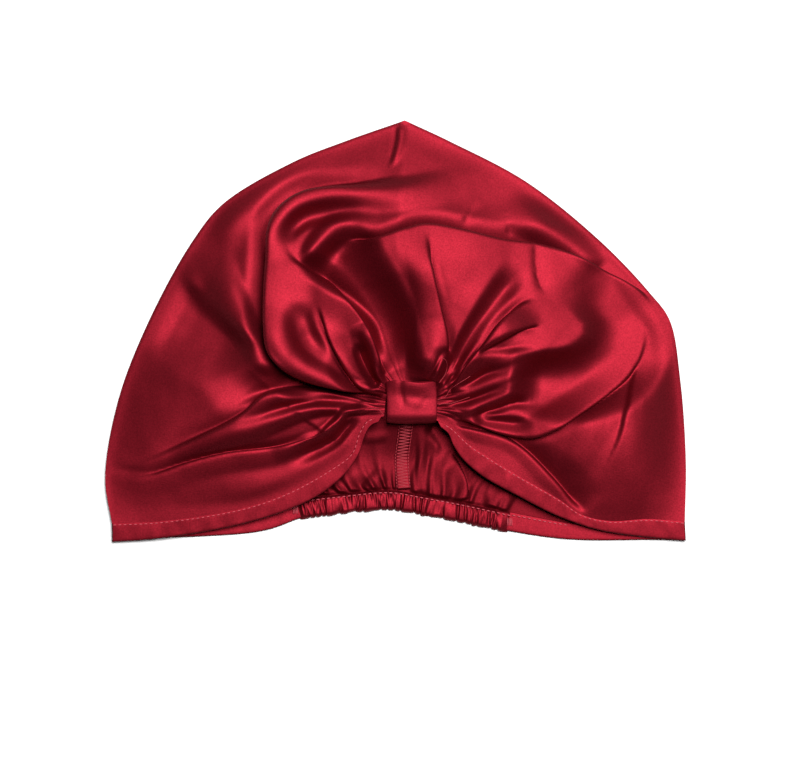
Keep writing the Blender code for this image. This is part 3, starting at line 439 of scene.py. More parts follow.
def front_points(columns, rows):
    """The front cloth as a grid: columns round the knot, and rows from it to the side folds."""
    along, across = grid_shares(columns, rows)
    out = across**OUTWARD
    inner, rim = at_share(knot_mouth, along), at_share(outline, along)
    places = inner + out[:, None] * (rim - inner)
    # The columns beside the hem follow its curve, where the others run straight.
    for line, end, turned in ((left_stitching, 0.0, along), (right_stitching, 1.0, 1 - along)):
        start, finish = at_share(knot_mouth, end), at_share(outline, end)
        pull = at_share(line, out) - (start + out[:, None] * (finish - start))
        places = places + (1.0 - np.clip(turned / 0.3, 0.0, 1.0))[:, None] ** 2 * pull

    # How far each place is from the side folds, from the knot and from the hem.
    from_rim = np.abs(beside(places, outline[::8])[0]) + 1e-6
    from_knot = np.linalg.norm(places - knot_place, axis=1)
    hem_left, along_left, _ = beside(places, left_stitching[::4])
    hem_right, along_right, _ = beside(places, right_stitching[::4])
    from_hem = np.minimum(np.abs(hem_left), np.abs(hem_right)) + 1e-6
    hem_share = np.where(np.abs(hem_left) < np.abs(hem_right), along_left, along_right)

    # The bag before it is folded: puffed up, and low at its side folds, hem and knot.
    stitched = KNOT_HEIGHT + (CORNER_HEIGHT - KNOT_HEIGHT) * hem_share**0.8
    corner_share = np.where(np.abs(hem_left) < np.abs(hem_right), 0.0, along_right)
    near_hem = np.exp(-(from_hem / (HEM_REACH * (1 + 0.4 * corner_share))) ** 2)
    slope = HEM_SLOPE + CORNER_SLOPE * hem_share**3 + RIGHT_SLOPE * eased((corner_share - 0.3) / 0.4)
    rise = slope * eased(from_rim / SLOPE_REACH)
    turn = 1.0 - np.clip(from_rim / SIDE_ROUND, 0.0, 1.0)
    low = SIDE_HEIGHT + SIDE_ROUND * np.sqrt(1.0 - turn**2)
    inside = from_rim**2 / (from_rim + SIDE_EASE)
    pillow = low + (PUFF - low) * (1.0 - np.clip(1.0 - inside / SIDE_REACH, 0.0, 1.0) ** 1.35)
    pillow = pillow + near_hem * (stitched + rise * from_hem - pillow)
    height = KNOT_HEIGHT + (pillow - KNOT_HEIGHT) * eased(from_knot / KNOT_REACH)

    # The folds, the edges and the fine gathers beside the knot. Hollows stop short of the
    # back cloth.
    raised, lean = soft_folds(places, FRONT_FOLDS)
    edge_raised, edge_lean = edge_folds(places, FRONT_EDGES)
    gathers = np.sin(math.pi * (FINE_GATHERS * along + 1.2 * wavering(along * 12, out * 3, 1.0)))
    gathers = np.abs(gathers) ** 0.8 - 0.6
    sideways = ((places - knot_place)[:, 0] / from_knot) ** 2
    started = eased((from_knot - GATHER_START[0]) / GATHER_START[1])
    ended = eased((from_knot - GATHER_END[0]) / GATHER_END[1])
    raised = raised + GATHER_HEIGHT * sideways * gathers * started * (1 - ended)
    room = np.maximum(height - low, 1e-5)
    raised, edge_raised = above_back(raised, room), above_back(edge_raised, room)

    # The folds calm down towards the knot, the side folds and the hem. The edges are put
    # on last, so that settling doesn't blunt them.
    calm = eased((from_knot - 0.4 * BAND_DEPTH) / KNOT_FADE)
    free = eased(from_rim / FOLD_FADE[0]) * eased(from_hem / FOLD_FADE[1])
    height = KNOT_HEIGHT + (height + raised * free - KNOT_HEIGHT) * (0.3 + 0.7 * calm)
    x, y = places.T
    ripple = wavering(x * 30, y * 30, 3.0) + 0.15 * wavering(x * 120, y * 120, 8.0)
    height = height + RIPPLE_HEIGHT * ripple * free
    rounded = settled(height.reshape(columns + 1, rows + 1).copy(), SETTLING)
    height = np.minimum(height, rounded.ravel())
    free = eased(from_rim / EDGE_FADE[0]) * eased(from_hem / EDGE_FADE[1]) * calm
    height = np.maximum(height + edge_raised * free, low)
    places = places + (lean + edge_lean) * free[:, None]
    return settled(as_grid(columns, rows, places, height), 1)


def cloth_on(points):
    """A grid of cloth bent to points, with a UV map of shares."""
    columns, rows = points.shape[0] - 1, points.shape[1] - 1
    cloth = bmesh.new()
    cloth.loops.layers.uv.new("cloth")
    bmesh.ops.create_grid(cloth, x_segments=columns, y_segments=rows, size=0.5, calc_uvs=True)
    for v in cloth.verts:
        v.co = points[round((v.co.x + 0.5) * columns), round((v.co.y + 0.5) * rows)]
    return cloth


def with_values(node, values):
    """The same node of a material, with these values in its inputs."""
    for name, value in values.items():
        node.inputs[name].default_value = value
    return node


def satin(name, colour, cut, roughness=0.6):
    """Silk satin: a coloured gloss over fine threads along the cloth. cut is its size in metres."""
    material = bpy.data.materials.new(name)
    material.use_nodes = True
    nodes, links = material.node_tree.nodes, material.node_tree.links
    shader = with_values(nodes["Principled BSDF"], {"Metallic": 1.0})
    uv = nodes.new("ShaderNodeUVMap")
    uv.uv_map = "cloth"
    threads = nodes.new("ShaderNodeMapping")
    with_values(threads, {"Scale": (2600 * cut[0], 420 * cut[1], 1.0)})
    weave = with_values(nodes.new("ShaderNodeTexNoise"), {"Scale": 1.0, "Detail": 2.0})
    place = nodes.new("ShaderNodeTexCoord")
    cloud = with_values(nodes.new("ShaderNodeTexNoise"), {"Scale": 28.0})
    grain = with_values(nodes.new("ShaderNodeTexNoise"), {"Scale": 1500.0})
    speckle = nodes.new("ShaderNodeMapRange")
    with_values(speckle, {"From Min": 0.32, "From Max": 0.68})
    shade = nodes.new("ShaderNodeMixRGB")
    darker, paler = ([c * part for c in colour[:3]] + [1.0] for part in (0.8, 1.2))
    with_values(shade, {"Color1": darker, "Color2": paler})
    rough = nodes.new("ShaderNodeMapRange")
    with_values(rough, {"To Min": roughness - 0.05, "To Max": roughness + 0.05})
    bump = with_values(nodes.new("ShaderNodeBump"), {"Strength": 0.4, "Distance": 0.0001})
    for source, given, target, taken in (
        (uv, "UV", threads, "Vector"), (threads, "Vector", weave, "Vector"),
        (place, "Object", cloud, "Vector"), (place, "Object", grain, "Vector"),
        (grain, "Fac", speckle, "Value"), (speckle, "Result", shade, "Fac"),
        (shade, "Color", shader, "Base Color"), (cloud, "Fac", rough, "Value"),
        (rough, "Result", shader, "Roughness"), (weave, "Fac", bump, "Height"),
        (bump, "Normal", shader, "Normal"),
    ):
        links.new(source.outputs[given], target.inputs[taken])
    return material


def sewn_piece(name, cloth, material, slot, *nodes):
    """Makes an object of a bmesh, which stands for these CAD nodes and rides on the root body."""
    mesh = bpy.data.meshes.new(name)
    cloth.to_mesh(mesh)
    cloth.free()
    mesh.shade_smooth()
    mesh.materials.append(material)
    piece = bpy.data.objects.new(name, mesh)
    bpy.context.scene.collection.objects.link(piece)
    if nodes:
        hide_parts(*nodes)
    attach(piece, "root")
    return piece


def face_up(cloth):
    """Turns a sheet's faces so that they look up."""
    cloth.normal_update()
    if sum(face.normal.z for face in cloth.faces) < 0:
        bmesh.ops.reverse_faces(cloth, faces=cloth.faces[:])


front = front_points(*FRONT_GRID)
front_bag = cloth_on(front)
face_up(front_bag)
front_satin = satin("front_satin", SATIN_RED, cut=FRONT_CUT)
front_cloth = sewn_piece("front_cloth", front_bag, front_satin, "silk_satin", "crown_front")

# The back cloth is the plain half of the bag, lying flat. Its inside shows in the
# mouth, where the elastic draws it into puffs and small pleats. It meets the front
# cloth at the side folds.
NAPE_LINE = (
    (-48.6, -47.2), (-33.4, -45.3), (-23.2, -43.2), (-16.8, -40.0), (-9.5, -38.6),
    (-0.9, -37.6), (4.2, -38.7), (11.0, -40.4), (21.3, -43.4), (31.5, -45.8),
    (49.6, -47.2),
)
SEAM_LINE = ((1.4, -37.4), (1.1, -30.3), (1.8, -21.8), (2.5, 7.3), (1.8, 42.0))
SEAM_WIDTH = 0.0065
CASING_SPAN = (0.32, 0.70)
# The back's red is darker than the front's: partly the satin's duller reverse side, partly painted
# shade of the inside of the bag.
BACK_RED_SHADED = (0.088, 0.0038, 0.0072, 1.0)
BACK_CUT = (0.29, 0.20)
BACK_GRID = (420, 110)
BACK_START = 0.004
BACK_SPAN = 0.992
BACK_LEVEL = 0.0007
BACK_THICK = 0.0004
FLOOR_GAP = 0.0001

BACK_FOLDS = {
    "petal": Fold(((7.4, -40.0), (7.6, -36.0), (8.0, -32.0), (8.8, -28.7)),
        0.16, (0.9, 0.7), (0.9, 0.6), 0.12, 0.4, 0.0),
    "left_puff": Fold(
        ((-9.4, -38.5), (-8.4, -35.0), (-7.2, -31.0)), 0.12, (0.9, 0.7), (0.9, 0.7), 0.12, 0.5, 0.0),
    "low_leaf": Fold(
        ((-4.9, -38.0), (-3.4, -35.0), (-1.6, -33.0)), 0.11, (0.5, 0.5), (0.7, 0.5), 0.1, 0.4, 0.0),
    "right_puff": Fold(
        ((17.5, -42.2), (18.4, -39.5), (20.2, -36.8)), 0.12, (0.8, 0.6), (0.8, 0.6), 0.12, 0.5, 0.0),
    "cross_pleat": Fold(
        ((-6.4, -25.4), (-3.0, -25.2), (-0.8, -24.2)), 0.05, (0.4, 0.4), (0.3, 0.3), 0.3, 0.3, 0.0),
    "dark_corner": Fold(
        ((5.6, -21.5), (8.4, -24.6), (10.2, -28.6)), -0.4, (0.7, 0.7), (0.7, 0.7), 0.2, 0.4, 0.2),
    "tall_pleat": Fold(
        ((4.4, -38.8), (4.4, -33.0), (4.4, -22.0)), 0.10, (0.35, 0.3), (0.4, 0.4), 0.1, 0.4, 0.0),
}
BACK_EDGES = {
    "petal_right": Edge(((12.4, -40.6), (12.3, -36.0), (11.0, -31.5), (9.1, -27.8)),
        "left", 0.13, 0.12, (1.1, 0.7), (0.5, 0.4), 0.1, 0.3),
}
# The puffs above the casing, how far they reach up at least, and how much more.
INSIDE_GATHERS = 15
INSIDE_HEIGHT = 0.0022
INSIDE_REACH = 0.008
INSIDE_UNEVEN = 0.009
FINE_REACH = 0.004
# Under the knot the inside swells up. The swell starts and ends at these places along
# the bag, each over a length.
INSIDE_SWELL = 0.0065
SWELL_REACH = 0.034
SWELL_START = (-0.066, 0.024)
SWELL_END = (-0.036, 0.030)

nape = smooth_line(placed(NAPE_LINE), 800)
seam = smooth_line(placed(SEAM_LINE), 200)


def swell(places):
    """How high the inside of the back stands where it goes up under the knot."""
    across = np.exp(-((places[..., 0] - knot_place[0]) / SWELL_REACH) ** 2)
    started = eased((places[..., 1] - SWELL_START[0]) / SWELL_START[1])
    ended = eased((places[..., 1] - SWELL_END[0]) / SWELL_END[1])
    return INSIDE_SWELL * across * started * (1 - ended)


def back_points(columns, rows):
    """The back cloth as a grid: columns along the nape, and rows up to the side folds."""
    along, across = grid_shares(columns, rows)
    spread = 0.5 + 0.5 * np.sign(along - 0.5) * np.abs(2 * along - 1) ** 1.5
    low = at_share(nape, BACK_START + BACK_SPAN * spread)
    rim = at_share(outline, BACK_START + BACK_SPAN * along)
    places = low + across[:, None] ** 1.7 * (rim - low)
    raised, lean = soft_folds(places, BACK_FOLDS)
    edge_raised, edge_lean = edge_folds(places, BACK_EDGES)
    # The puffs and fine gathers above the casing, which stand only where it is gathered.
    above = np.linalg.norm(places - low, axis=1)
    within = BACK_START + BACK_SPAN * spread - CASING_SPAN[0]
    within = within / (CASING_SPAN[1] - CASING_SPAN[0])
    wander = wavering(within * 7, above * 45, 2.0)
    length = INSIDE_REACH + INSIDE_UNEVEN * np.abs(wavering(within * 16, 0.0, 6.0))
    wave = 0.5 + 0.5 * np.sin(2 * math.pi * (INSIDE_GATHERS * within + 0.8 * wander))
    fine = 0.5 + 0.5 * np.sin(2 * math.pi * (2.3 * INSIDE_GATHERS * within + 1.3 * wander))
    gathers = wave**1.3 * np.exp(-above / length) + 0.4 * fine * np.exp(-above / FINE_REACH)
    gathers = gathers * eased(within / 0.06) * eased((1 - within) / 0.06) * eased(above / 0.002)
    # The cloth lies plain under the seam allowance.
    from_seam = np.abs(beside(places, seam[::10])[0])
    lift = np.maximum(raised + edge_raised + INSIDE_HEIGHT * gathers, -0.0002 - 0.9 * swell(places))
    lift = lift * eased((from_seam - 0.4 * SEAM_WIDTH) / (0.5 * SEAM_WIDTH))
    lean = (lean + edge_lean) * (from_seam > 0.6 * SEAM_WIDTH)[:, None]
    return as_grid(columns, rows, places + lean, BACK_LEVEL + lift + swell(places))


back_bag = cloth_on(back_points(*BACK_GRID))
face_up(back_bag)
bmesh.ops.solidify(back_bag, geom=back_bag.faces[:], thickness=BACK_THICK)
for v in back_bag.verts:
    v.co.z = max(v.co.z, FLOOR_GAP)
back_satin_shaded = satin("back_satin_shaded", BACK_RED_SHADED, roughness=0.66, cut=BACK_CUT)
back_cloth = sewn_piece("back_cloth", back_bag, back_satin_shaded, "silk_satin", "crown_back")

# The front hems: the cloth's front edge is turned under by a finger's breadth and
# stitched down in a paler red thread. It is drawn up to the knot from both corners.
LEFT_HEM_EDGE = (
    (-2.6, -21.2), (-4.2, -22.2), (-5.4, -25.1), (-6.2, -28.6), (-7.8, -32.2),
    (-10.9, -36.4), (-14.6, -39.7), (-19.7, -42.7), (-26.6, -45.5), (-33.4, -47.4),
    (-42.0, -49.1), (-48.8, -49.8),
)
RIGHT_HEM_EDGE = (
    (7.5, -22.4), (9.0, -24.0), (9.8, -26.6), (11.4, -29.9), (14.8, -34.0),
    (21.3, -39.0), (28.1, -43.7), (35.0, -46.9), (41.8, -48.4), (50.0, -49.5),
)
HEM_CUT = (0.17, 0.02)
HEM_GRID = (340, 36)
HEM_THICK = 0.0012
HEM_LOWEST = 0.0021
HEM_TILT = 0.10
HEM_RIPPLE = 0.00035


def closed_tube(points):
    """A tube of cloth bent to points, whose first and last rows meet, with its ends filled."""
    tube = cloth_on(points)
    bmesh.ops.remove_doubles(tube, verts=tube.verts[:], dist=1e-7)
    open_edges = [edge for edge in tube.edges if edge.is_boundary]
    bmesh.ops.holes_fill(tube, edges=open_edges, sides=0)
    if tube.calc_volume(signed=True) < 0:
        bmesh.ops.reverse_faces(tube, faces=tube.faces[:])
    return tube


def flat_section(around, thick, square=0.35):
    """Round a flat tube: the share down from its upper edge, and the height over its underside."""
    angle = 2 * math.pi * around
    across = 0.5 - 0.5 * np.sign(np.cos(angle)) * np.abs(np.cos(angle)) ** square
    height = 0.5 * thick * (1 + np.sign(np.sin(angle)) * np.abs(np.sin(angle)) ** (square + 0.15))
    return across, height


def hem_points(stitched, edge, seed, columns, around):
    """One half of the front hem. stitched is the front cloth's side of it, from the knot out."""
    along, turn = grid_shares(columns, around)
    share = np.maximum(along**OUTWARD, 0.008)
    top = at_share(evenly(stitched, 400), share)
    low = at_share(smooth_line(placed(edge), 400), share)
    across, rise = flat_section(turn, HEM_THICK)
    across = across * 1.04 - 0.04
    places = top[:, :2] + across[:, None] * (low - top[:, :2])
    depth = np.linalg.norm(low - top[:, :2], axis=1) * across
    ripple = HEM_RIPPLE * wavering(share * 26, seed, across * 0.8)
    under = top[:, 2] - HEM_TILT * depth + ripple * eased(across / 0.4) - HEM_THICK * 0.85
    under = np.maximum(under, HEM_LOWEST)
    return as_grid(columns, around, places, under + rise)


hem_satin = satin("hem_satin", SATIN_RED, cut=HEM_CUT)
left_turn = closed_tube(hem_points(front[0], LEFT_HEM_EDGE, 2.0, *HEM_GRID))
left_hem = sewn_piece("left_hem", left_turn, hem_satin, "silk_satin", "front_hem_left")
right_turn = closed_tube(hem_points(front[-1], RIGHT_HEM_EDGE, 7.0, *HEM_GRID))
right_hem = sewn_piece("right_hem", right_turn, hem_satin, "silk_satin", "front_hem_right")

# The hem's topstitching is a row of short even stitches of polyester thread, sunk a
# little into the satin. It runs round both halves of the front hem.
THREAD_PINK = (0.30, 0.042, 0.056, 1.0)
# The pitch of a row's stitches, the gap between two, and the thread's thickness.
HEM_STITCH = (0.0026, 0.0009, 0.00042)
FIRST_STITCH = 14
STITCH_SHIFT = (0.0, -0.0006, 0.0002)


def thread_material(name, colour):
    """Twisted polyester thread, paler and duller than the satin."""
    material = bpy.data.materials.new(name)
    material.use_nodes = True
    nodes, links = material.node_tree.nodes, material.node_tree.links
    shader = nodes["Principled BSDF"]
    with_values(shader, {"Roughness": 0.55, "Specular IOR Level": 0.15})
    place = nodes.new("ShaderNodeTexCoord")
    twist = with_values(nodes.new("ShaderNodeTexNoise"), {"Scale": 2500.0})
    shade = nodes.new("ShaderNodeMixRGB")
    darker = [c * 0.7 for c in colour[:3]] + [1.0]
    with_values(shade, {"Color1": darker, "Color2": colour})
    links.new(place.outputs["Object"], twist.inputs["Vector"])
    links.new(twist.outputs["Fac"], shade.inputs["Fac"])
    links.new(shade.outputs["Color"], shader.inputs["Base Color"])
    return material


def add_stitch(threads, start, end, thick):
    """One stitch of thread from start to end."""
    start, end = Vector(start), Vector(end)
    run = end - start
    stitch = bmesh.ops.create_uvsphere(threads, u_segments=6, v_segments=4, radius=0.5)["verts"]
    bmesh.ops.scale(threads, vec=(thick, thick, run.length), verts=stitch)
    turn = run.to_track_quat("Z", "Y").to_matrix()
    bmesh.ops.rotate(threads, cent=(0, 0, 0), matrix=turn, verts=stitch)
    bmesh.ops.translate(threads, vec=(start + end) / 2, verts=stitch)


def add_stitches(threads, line, pitch, gap, thick):
    """A row of stitches along a line of points."""
    count = int(np.linalg.norm(np.diff(line, axis=0), axis=1).sum() / pitch)
    half_gap = 0.5 * gap / pitch
    for i in range(count):
        start = at_share(line, (i + half_gap) / count)
        end = at_share(line, (i + 1 - half_gap) / count)
        add_stitch(threads, start, end, thick)


hem_threads = bmesh.new()
for stitched in (front[0], front[-1]):
    line = evenly(stitched, 400)[FIRST_STITCH:] + STITCH_SHIFT
    add_stitches(hem_threads, evenly(line, 400), *HEM_STITCH)
thread_pink = thread_material("thread_pink", THREAD_PINK)
topstitching = sewn_piece("topstitching", hem_threads, thread_pink, "overlocked_seam")

# The ends of the nape hem: between the gathers and the corners the nape edge is a
# plain turned hem, which lies on the surface under the ends of the front hem.
CASING_DEPTH = 0.0100
BACK_HEM_CORNER = 0.0050
BACK_HEM_THICK = 0.0013
BACK_HEM_RIPPLE = 0.0004
BACK_HEM_GRID = (120, 28)
# Shares of the nape line. Both hems run a little into the casing.
LEFT_HEM_SPAN = (0.004, CASING_SPAN[0] + 0.004)
RIGHT_HEM_SPAN = (CASING_SPAN[1] - 0.004, 0.996)


def square_to(line, share, step):
    """The way to the right of a line at each share, from the points a step before and after."""
    ahead = at_share(line, np.clip(share + step, 0, 1)) - at_share(line, np.clip(share - step, 0, 1))
    return np.column_stack([ahead[:, 1], -ahead[:, 0]]) / np.linalg.norm(ahead, axis=1)[:, None]


def below_nape(share, depth):
    """Places that depth below the nape line, square to it."""
    return at_share(nape, share) + depth[:, None] * square_to(nape, share, 0.002)


def back_hem_points(first, last, seed, columns, around):
    """The nape hem from share first to last of the nape line, deepening towards the casing."""
    along, turn = grid_shares(columns, around)
    across, rise = flat_section(turn, BACK_HEM_THICK)
    towards_casing = along if first < 0.3 else 1.0 - along
    deepest = BACK_HEM_CORNER + (0.9 * CASING_DEPTH - BACK_HEM_CORNER) * eased(towards_casing)
    places = below_nape(first + (last - first) * along, (across * 1.06 - 0.06) * deepest)
    ripple = BACK_HEM_RIPPLE * (wavering(along * 14, seed, 0.0) + 0.5) * towards_casing
    return as_grid(columns, around, places, FLOOR_GAP + rise + ripple)


left_end = closed_tube(back_hem_points(*LEFT_HEM_SPAN, 1.0, *BACK_HEM_GRID))
nape_hem_left = sewn_piece("nape_hem_left", left_end, hem_satin, "silk_satin", "back_hem_left")
right_end = closed_tube(back_hem_points(*RIGHT_HEM_SPAN, 5.0, *BACK_HEM_GRID))
nape_hem_right = sewn_piece("nape_hem_right", right_end, hem_satin, "silk_satin", "back_hem_right")

# The nape casing is a channel of satin with a flat elastic inside, which draws it up
# into uneven small gathers. Each gather pinches the cloth between the stitching and
# the lower edge.
CASING_CUT = (0.22, 0.03)
CASING_GRID = (700, 36)
CASING_THICK = 0.0036
CASING_THIN = 0.0015
CASING_GATHERS = 20
GATHER_PINCH = 0.0013
TUCK_PINCH = 0.0007
CASING_WAVE = 0.0006
CASING_RIPPLE = 0.0003


def casing_points(columns, around):
    """The casing: a tube along the nape line, thin where it is gathered and full between."""
    along, turn = grid_shares(columns, around)
    across, rise = flat_section(turn, 1.0)
    share = CASING_SPAN[0] + (CASING_SPAN[1] - CASING_SPAN[0]) * along
    # Uneven gathers, and more small tucks in the upper half.
    slant = wavering(along * 17, 9.0, 0.0)
    wander = wavering(along * 6, 4.0, across * 0.5)
    phase = CASING_GATHERS * along + 2.4 * wander + 0.8 * slant * across
    pinch = np.abs(np.cos(math.pi * phase)) ** 9
    tuck = np.abs(np.cos(math.pi * (2.4 * phase + 0.3))) ** 9 * np.clip(1 - across / 0.75, 0, 1)
    fine = wavering(along * 60, 9.0, across * 1.5)
    full = eased(along / 0.04) * eased((1 - along) / 0.04)
    depth = CASING_DEPTH * across * (1.0 - 0.05 * pinch + 0.06 * slant)
    body = np.sqrt(1.0 - 0.7 * np.clip(2 * across - 1, -1, 1) ** 4)
    swelling = CASING_THICK - CASING_THIN - GATHER_PINCH * pinch - TUCK_PINCH * tuck
    thick = CASING_THIN + full * (swelling + CASING_WAVE * slant + CASING_RIPPLE * fine)
    return as_grid(columns, around, below_nape(share, depth), rise * body * thick)


casing_satin = satin("casing_satin", SATIN_RED, cut=CASING_CUT)
casing = closed_tube(casing_points(*CASING_GRID))
elastic_casing = sewn_piece("elastic_casing", casing, casing_satin, "silk_satin", "nape_casing")

# The back seam: the raw edges of the centre-back seam, bound together by an overlock
# stitch in red thread and pressed flat on the inside of the back cloth.
# The seam's red is darker than the front satin's: painted shade of the inside of the bag.
SEAM_RED_SHADED = (0.080, 0.0036, 0.0068, 1.0)
SEAM_CUT = (0.17, 0.012)
SEAM_GRID = (160, 24)
SEAM_THICK = 0.0012
SEAM_LEVEL = 0.0009
THREAD_RED = (0.21, 0.014, 0.022, 1.0)
OVERLOCK_PITCH = 0.0016
OVERLOCK_THREAD = 0.00042
OVERLOCK_LEVEL = 0.0022


def seam_points(columns, around):
    """The seam allowance: a flat tube along the seam line, on the inside of the back."""
    along, turn = grid_shares(columns, around)
    across, rise = flat_section(turn, SEAM_THICK)
    sideways = SEAM_WIDTH * (across[:, None] - 0.5) * square_to(seam, along, 0.01)
    places = at_share(seam, along) + sideways
    return as_grid(columns, around, places, SEAM_LEVEL + rise + swell(places))


seam_strip = seam_points(*SEAM_GRID)
seam_satin_shaded = satin("seam_satin_shaded", SEAM_RED_SHADED, roughness=0.55, cut=SEAM_CUT)
seam_tube = closed_tube(seam_strip)
seam_allowance = sewn_piece("seam_allowance", seam_tube, seam_satin_shaded, "overlocked_seam", "back_seam")

overlock_threads = bmesh.new()
seam_run = evenly(seam_strip[:, 0], 400)
seam_length = np.linalg.norm(np.diff(seam_run, axis=0), axis=1).sum()
for i in range(int(seam_length / OVERLOCK_PITCH) - 1):
    share = (i + 0.5) * OVERLOCK_PITCH / seam_length
    pair = [at_share(seam, share), at_share(seam, share + OVERLOCK_PITCH / seam_length)]
    left_ends, right_ends = (
        [np.array((p[0] + side * SEAM_WIDTH / 2, p[1], OVERLOCK_LEVEL + swell(p))) for p in pair]
        for side in (-1, 1)
    )
    tip = (right_ends[0] + right_ends[1]) / 2
    for start, end in ((left_ends[0], tip), (tip, left_ends[1]), left_ends, right_ends):
        add_stitch(overlock_threads, start, end, OVERLOCK_THREAD)
thread_red = thread_material("thread_red", THREAD_RED)
overlocking = sewn_piece("overlocking", overlock_threads, thread_red, "overlocked_seam")

# The casing's stitching: the seam that closes the casing, in the same pink thread. It
# runs on along the right end of the nape hem, and a bar of close stitches at both ends
# of the casing holds the elastic.
CASING_STITCH = (0.0026, 0.0008, 0.0005)
STITCH_LEVEL = 0.0033
STITCH_BELOW = 0.0012
BEYOND_STITCH = (0.0026, 0.0008, 0.00045)
BEYOND_SHARE = 0.10
BEYOND_LEVELS = (0.0026, 0.0019)
BEYOND_BELOW = 0.0008
BAR_ENDS = (0.005, 0.995)
BAR_STITCHES = 4
BAR_PITCH = 0.0007
BAR_BELOW = (-0.0010, -0.0008)
BAR_RUN = (0.0002, -0.0045, 0.0)
BAR_THREAD = 0.0004

casing_threads = bmesh.new()
casing_line = at_share(nape, np.linspace(CASING_SPAN[0], CASING_SPAN[1], 400))
casing_line = np.column_stack([casing_line, np.full(400, STITCH_LEVEL)])
casing_line[:, 1] -= STITCH_BELOW
casing_line = evenly(casing_line, 400)
add_stitches(casing_threads, casing_line, *CASING_STITCH)
beyond = at_share(nape, np.linspace(CASING_SPAN[1], CASING_SPAN[1] + BEYOND_SHARE, 60))
beyond = np.column_stack([beyond, np.linspace(*BEYOND_LEVELS, 60)])
beyond[:, 1] -= BEYOND_BELOW
add_stitches(casing_threads, beyond, *BEYOND_STITCH)
for end in BAR_ENDS:
    foot = at_share(casing_line, end)
    for i in range(BAR_STITCHES):
        start = foot + (BAR_PITCH * (i - 2), *BAR_BELOW)
        add_stitch(casing_threads, start, start + BAR_RUN, BAR_THREAD)
casing_stitching = sewn_piece("casing_stitching", casing_threads, thread_pink, "overlocked_seam")

# The knot band is a strip of the same satin, folded in thirds and sewn round the
# gathers. It bulges a little over them, with a fold at its left and a slanting crease
# at its lower right.
# The band's red is a paler copy of the satin's: painted light on the band.
BAND_RED_LIT = (0.13, 0.0058, 0.0112, 1.0)
BAND_CUT = (0.05, 0.05)
BAND_GRID = (110, 72)
BAND_RISE = 0.0052
BAND_THICK = 0.0018
BAND_BULGE = 0.0030
BAND_TUCK = 0.0008
BAND_CREASE = 0.0004
BAND_STEP = 0.0003
BAND_RIDGE = 0.0003
BAND_WAVE = 0.0006


def band_points(columns, around):
    """The band: a flat tube that runs down over the gathers and back under them."""
    along, turn = grid_shares(columns, around)
    across, rise = flat_section(turn, BAND_THICK, 0.7)
    # The run goes straight down the front, round the bend and straight back underneath.
    straight = BAND_DEPTH - BAND_RISE
    bend = math.pi * BAND_RISE
    run = along * (2 * straight + bend)
    angle = np.clip((run - straight) / BAND_RISE, 0.0, math.pi)
    down = np.clip(run, 0.0, straight) - np.clip(run - straight - bend, 0.0, straight)
    front_side = run < straight + 0.5 * bend
    fall = down / straight
    seen = np.clip(run / (straight + 0.6 * bend), 0, 1)
    # The bulge, the fold at the left, the slanting crease, and a low ridge in the middle.
    falling = 0.6 + 0.4 * np.cos(math.pi * np.clip(fall / 0.55, 0, 1))
    over_bend = eased((run - straight) / (0.8 * bend))
    bulge = BAND_BULGE * (1 - (2 * across - 1) ** 2) * falling * (1 - over_bend)
    from_tuck = (across - 0.30 + 0.02 * np.sin(6 * fall)) / 0.05
    tuck = -BAND_TUCK * np.exp(-(from_tuck**2)) * eased((0.90 - fall) / 0.35)
    slant = across - 0.82 + 0.36 * np.clip(fall - 0.4, 0, 1)
    crease = -(BAND_CREASE * np.exp(-((slant / 0.055) ** 2)) + BAND_STEP * eased(slant / 0.12))
    crease = crease * eased((fall - 0.35) / 0.25)
    ridge = BAND_RIDGE * np.exp(-(((fall - 0.66 - 0.3 * (across - 0.5)) / 0.13) ** 2))
    ridge = ridge * np.exp(-(((across - 0.55) / 0.22) ** 2))
    radius = BAND_RISE - BAND_THICK + rise + (tuck + crease + ridge) * front_side + bulge
    bow = np.sin(math.pi * seen)
    wave = BAND_WAVE * np.sin(7 * across) * np.clip(1 - fall, 0, 1)
    x = knot_place[0] + BAND_WIDTH * (1.0 - 0.04 * bow) * (across - 0.5) + 0.0010 * across * bow
    y = knot_place[1] + BAND_DEPTH / 2 - down - radius * np.sin(angle) + wave
    z = KNOT_HEIGHT - 0.0006 + radius * np.cos(angle)
    return as_grid(columns, around, x, y, z)


band_satin_lit = satin("band_satin_lit", BAND_RED_LIT, cut=BAND_CUT)
band_tube = closed_tube(band_points(*BAND_GRID))
band = sewn_piece("knot_wrap", band_tube, band_satin_lit, "silk_satin", "knot_band")
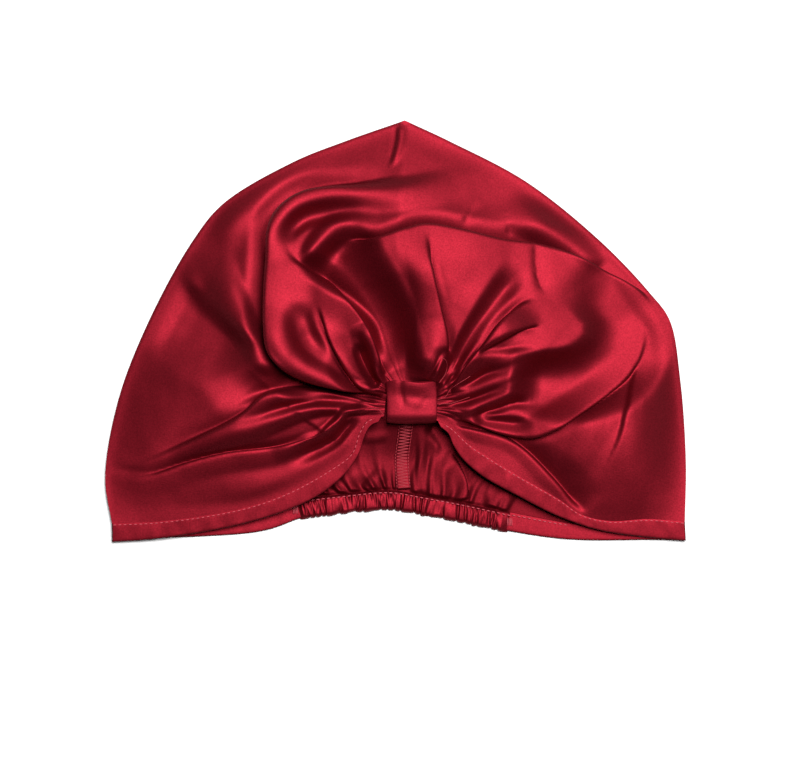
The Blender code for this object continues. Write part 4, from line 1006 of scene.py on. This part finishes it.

# The raw edge and painted highlights: beside the knot one fine frayed red thread of the satin's
# cut edge curls on a crest, and fine red threads that lie on the crests of a few pleats are
# painted highlights along those crests.
# The first line is the loose frayed thread; the other three are painted highlights along pleat crests.
RAW_EDGES_AND_HIGHLIGHTS = (
    ((7.6, -6.2), (8.5, -6.8), (8.8, -8.2), (8.5, -10.1), (7.4, -12.2)),
    ((7.1, -16.2), (8.5, -15.5), (9.3, -13.8), (12.7, -10.6)),
    ((7.3, -17.4), (8.1, -17.0), (9.1, -17.1), (12.7, -15.5)),
    ((-2.0, -19.7), (-3.0, -18.3), (-4.4, -18.3)),
)
FRAYED_AND_HIGHLIGHT_THREAD = (0.0010, -0.0005, 0.00028)
CREST_REACH = 0.0008
edge_and_highlight_threads = bmesh.new()
cloth_places = front.reshape(-1, 3)
for edge in RAW_EDGES_AND_HIGHLIGHTS:
    line = smooth_line(placed(edge), 24)
    heights = []
    for place in line:
        near = np.linalg.norm(cloth_places[:, :2] - place, axis=1) < CREST_REACH
        heights.append(cloth_places[near, 2].max(initial=KNOT_HEIGHT))
    add_stitches(edge_and_highlight_threads, np.column_stack([line, heights]), *FRAYED_AND_HIGHLIGHT_THREAD)
raw_edges_and_highlights = sewn_piece("raw_edges_and_highlights", edge_and_highlight_threads, thread_red, "overlocked_seam")

# The floor, the light and the camera: a pale plain surface, one large soft light high
# beyond the peak and to the right, and the photo's view from straight above.
FLOOR_GREY = (0.42, 0.42, 0.42, 1.0)
LIGHT_PLACE = (0.34, 0.58, 2.16)
LIGHT_SIZE = 0.95
LIGHT_POWER = 182.0
ROOM_LIGHT = 0.006
CAMERA_PLACE = (0.00225, -0.02575, 1.6)
# The picture is this wide at this distance below the camera, where the knot is.
VIEW_WIDTH = 0.4
VIEW_DISTANCE = 1.585
floor_mesh = bmesh.new()
bmesh.ops.create_grid(floor_mesh, x_segments=8, y_segments=8, size=2.0)
floor_data = bpy.data.meshes.new("floor")
floor_mesh.to_mesh(floor_data)
floor_mesh.free()
floor_paint = bpy.data.materials.new("floor_paint")
floor_paint.use_nodes = True
floor_shader = floor_paint.node_tree.nodes["Principled BSDF"]
with_values(floor_shader, {"Base Color": FLOOR_GREY, "Roughness": 0.9})
floor_data.materials.append(floor_paint)
floor = bpy.data.objects.new("floor", floor_data)
bpy.context.scene.collection.objects.link(floor)

soft_box = bpy.data.lights.new("key", "AREA")
soft_box.size = LIGHT_SIZE
soft_box.energy = LIGHT_POWER
key_light = bpy.data.objects.new("key", soft_box)
key_light.location = LIGHT_PLACE
key_light.rotation_euler = (-Vector(LIGHT_PLACE)).to_track_quat("-Z", "Y").to_euler()
bpy.context.scene.collection.objects.link(key_light)
world = bpy.data.worlds.new("studio")
world.use_nodes = True
with_values(world.node_tree.nodes["Background"], {"Color": (1, 1, 1, 1), "Strength": ROOM_LIGHT})
bpy.context.scene.world = world

camera_data = bpy.data.cameras.new("camera")
camera_data.lens = camera_data.sensor_width * VIEW_DISTANCE / VIEW_WIDTH
camera = bpy.data.objects.new("camera", camera_data)
camera.location = CAMERA_PLACE
bpy.context.scene.collection.objects.link(camera)
bpy.context.scene.camera = camera
bpy.context.scene.view_settings.view_transform = "Standard"
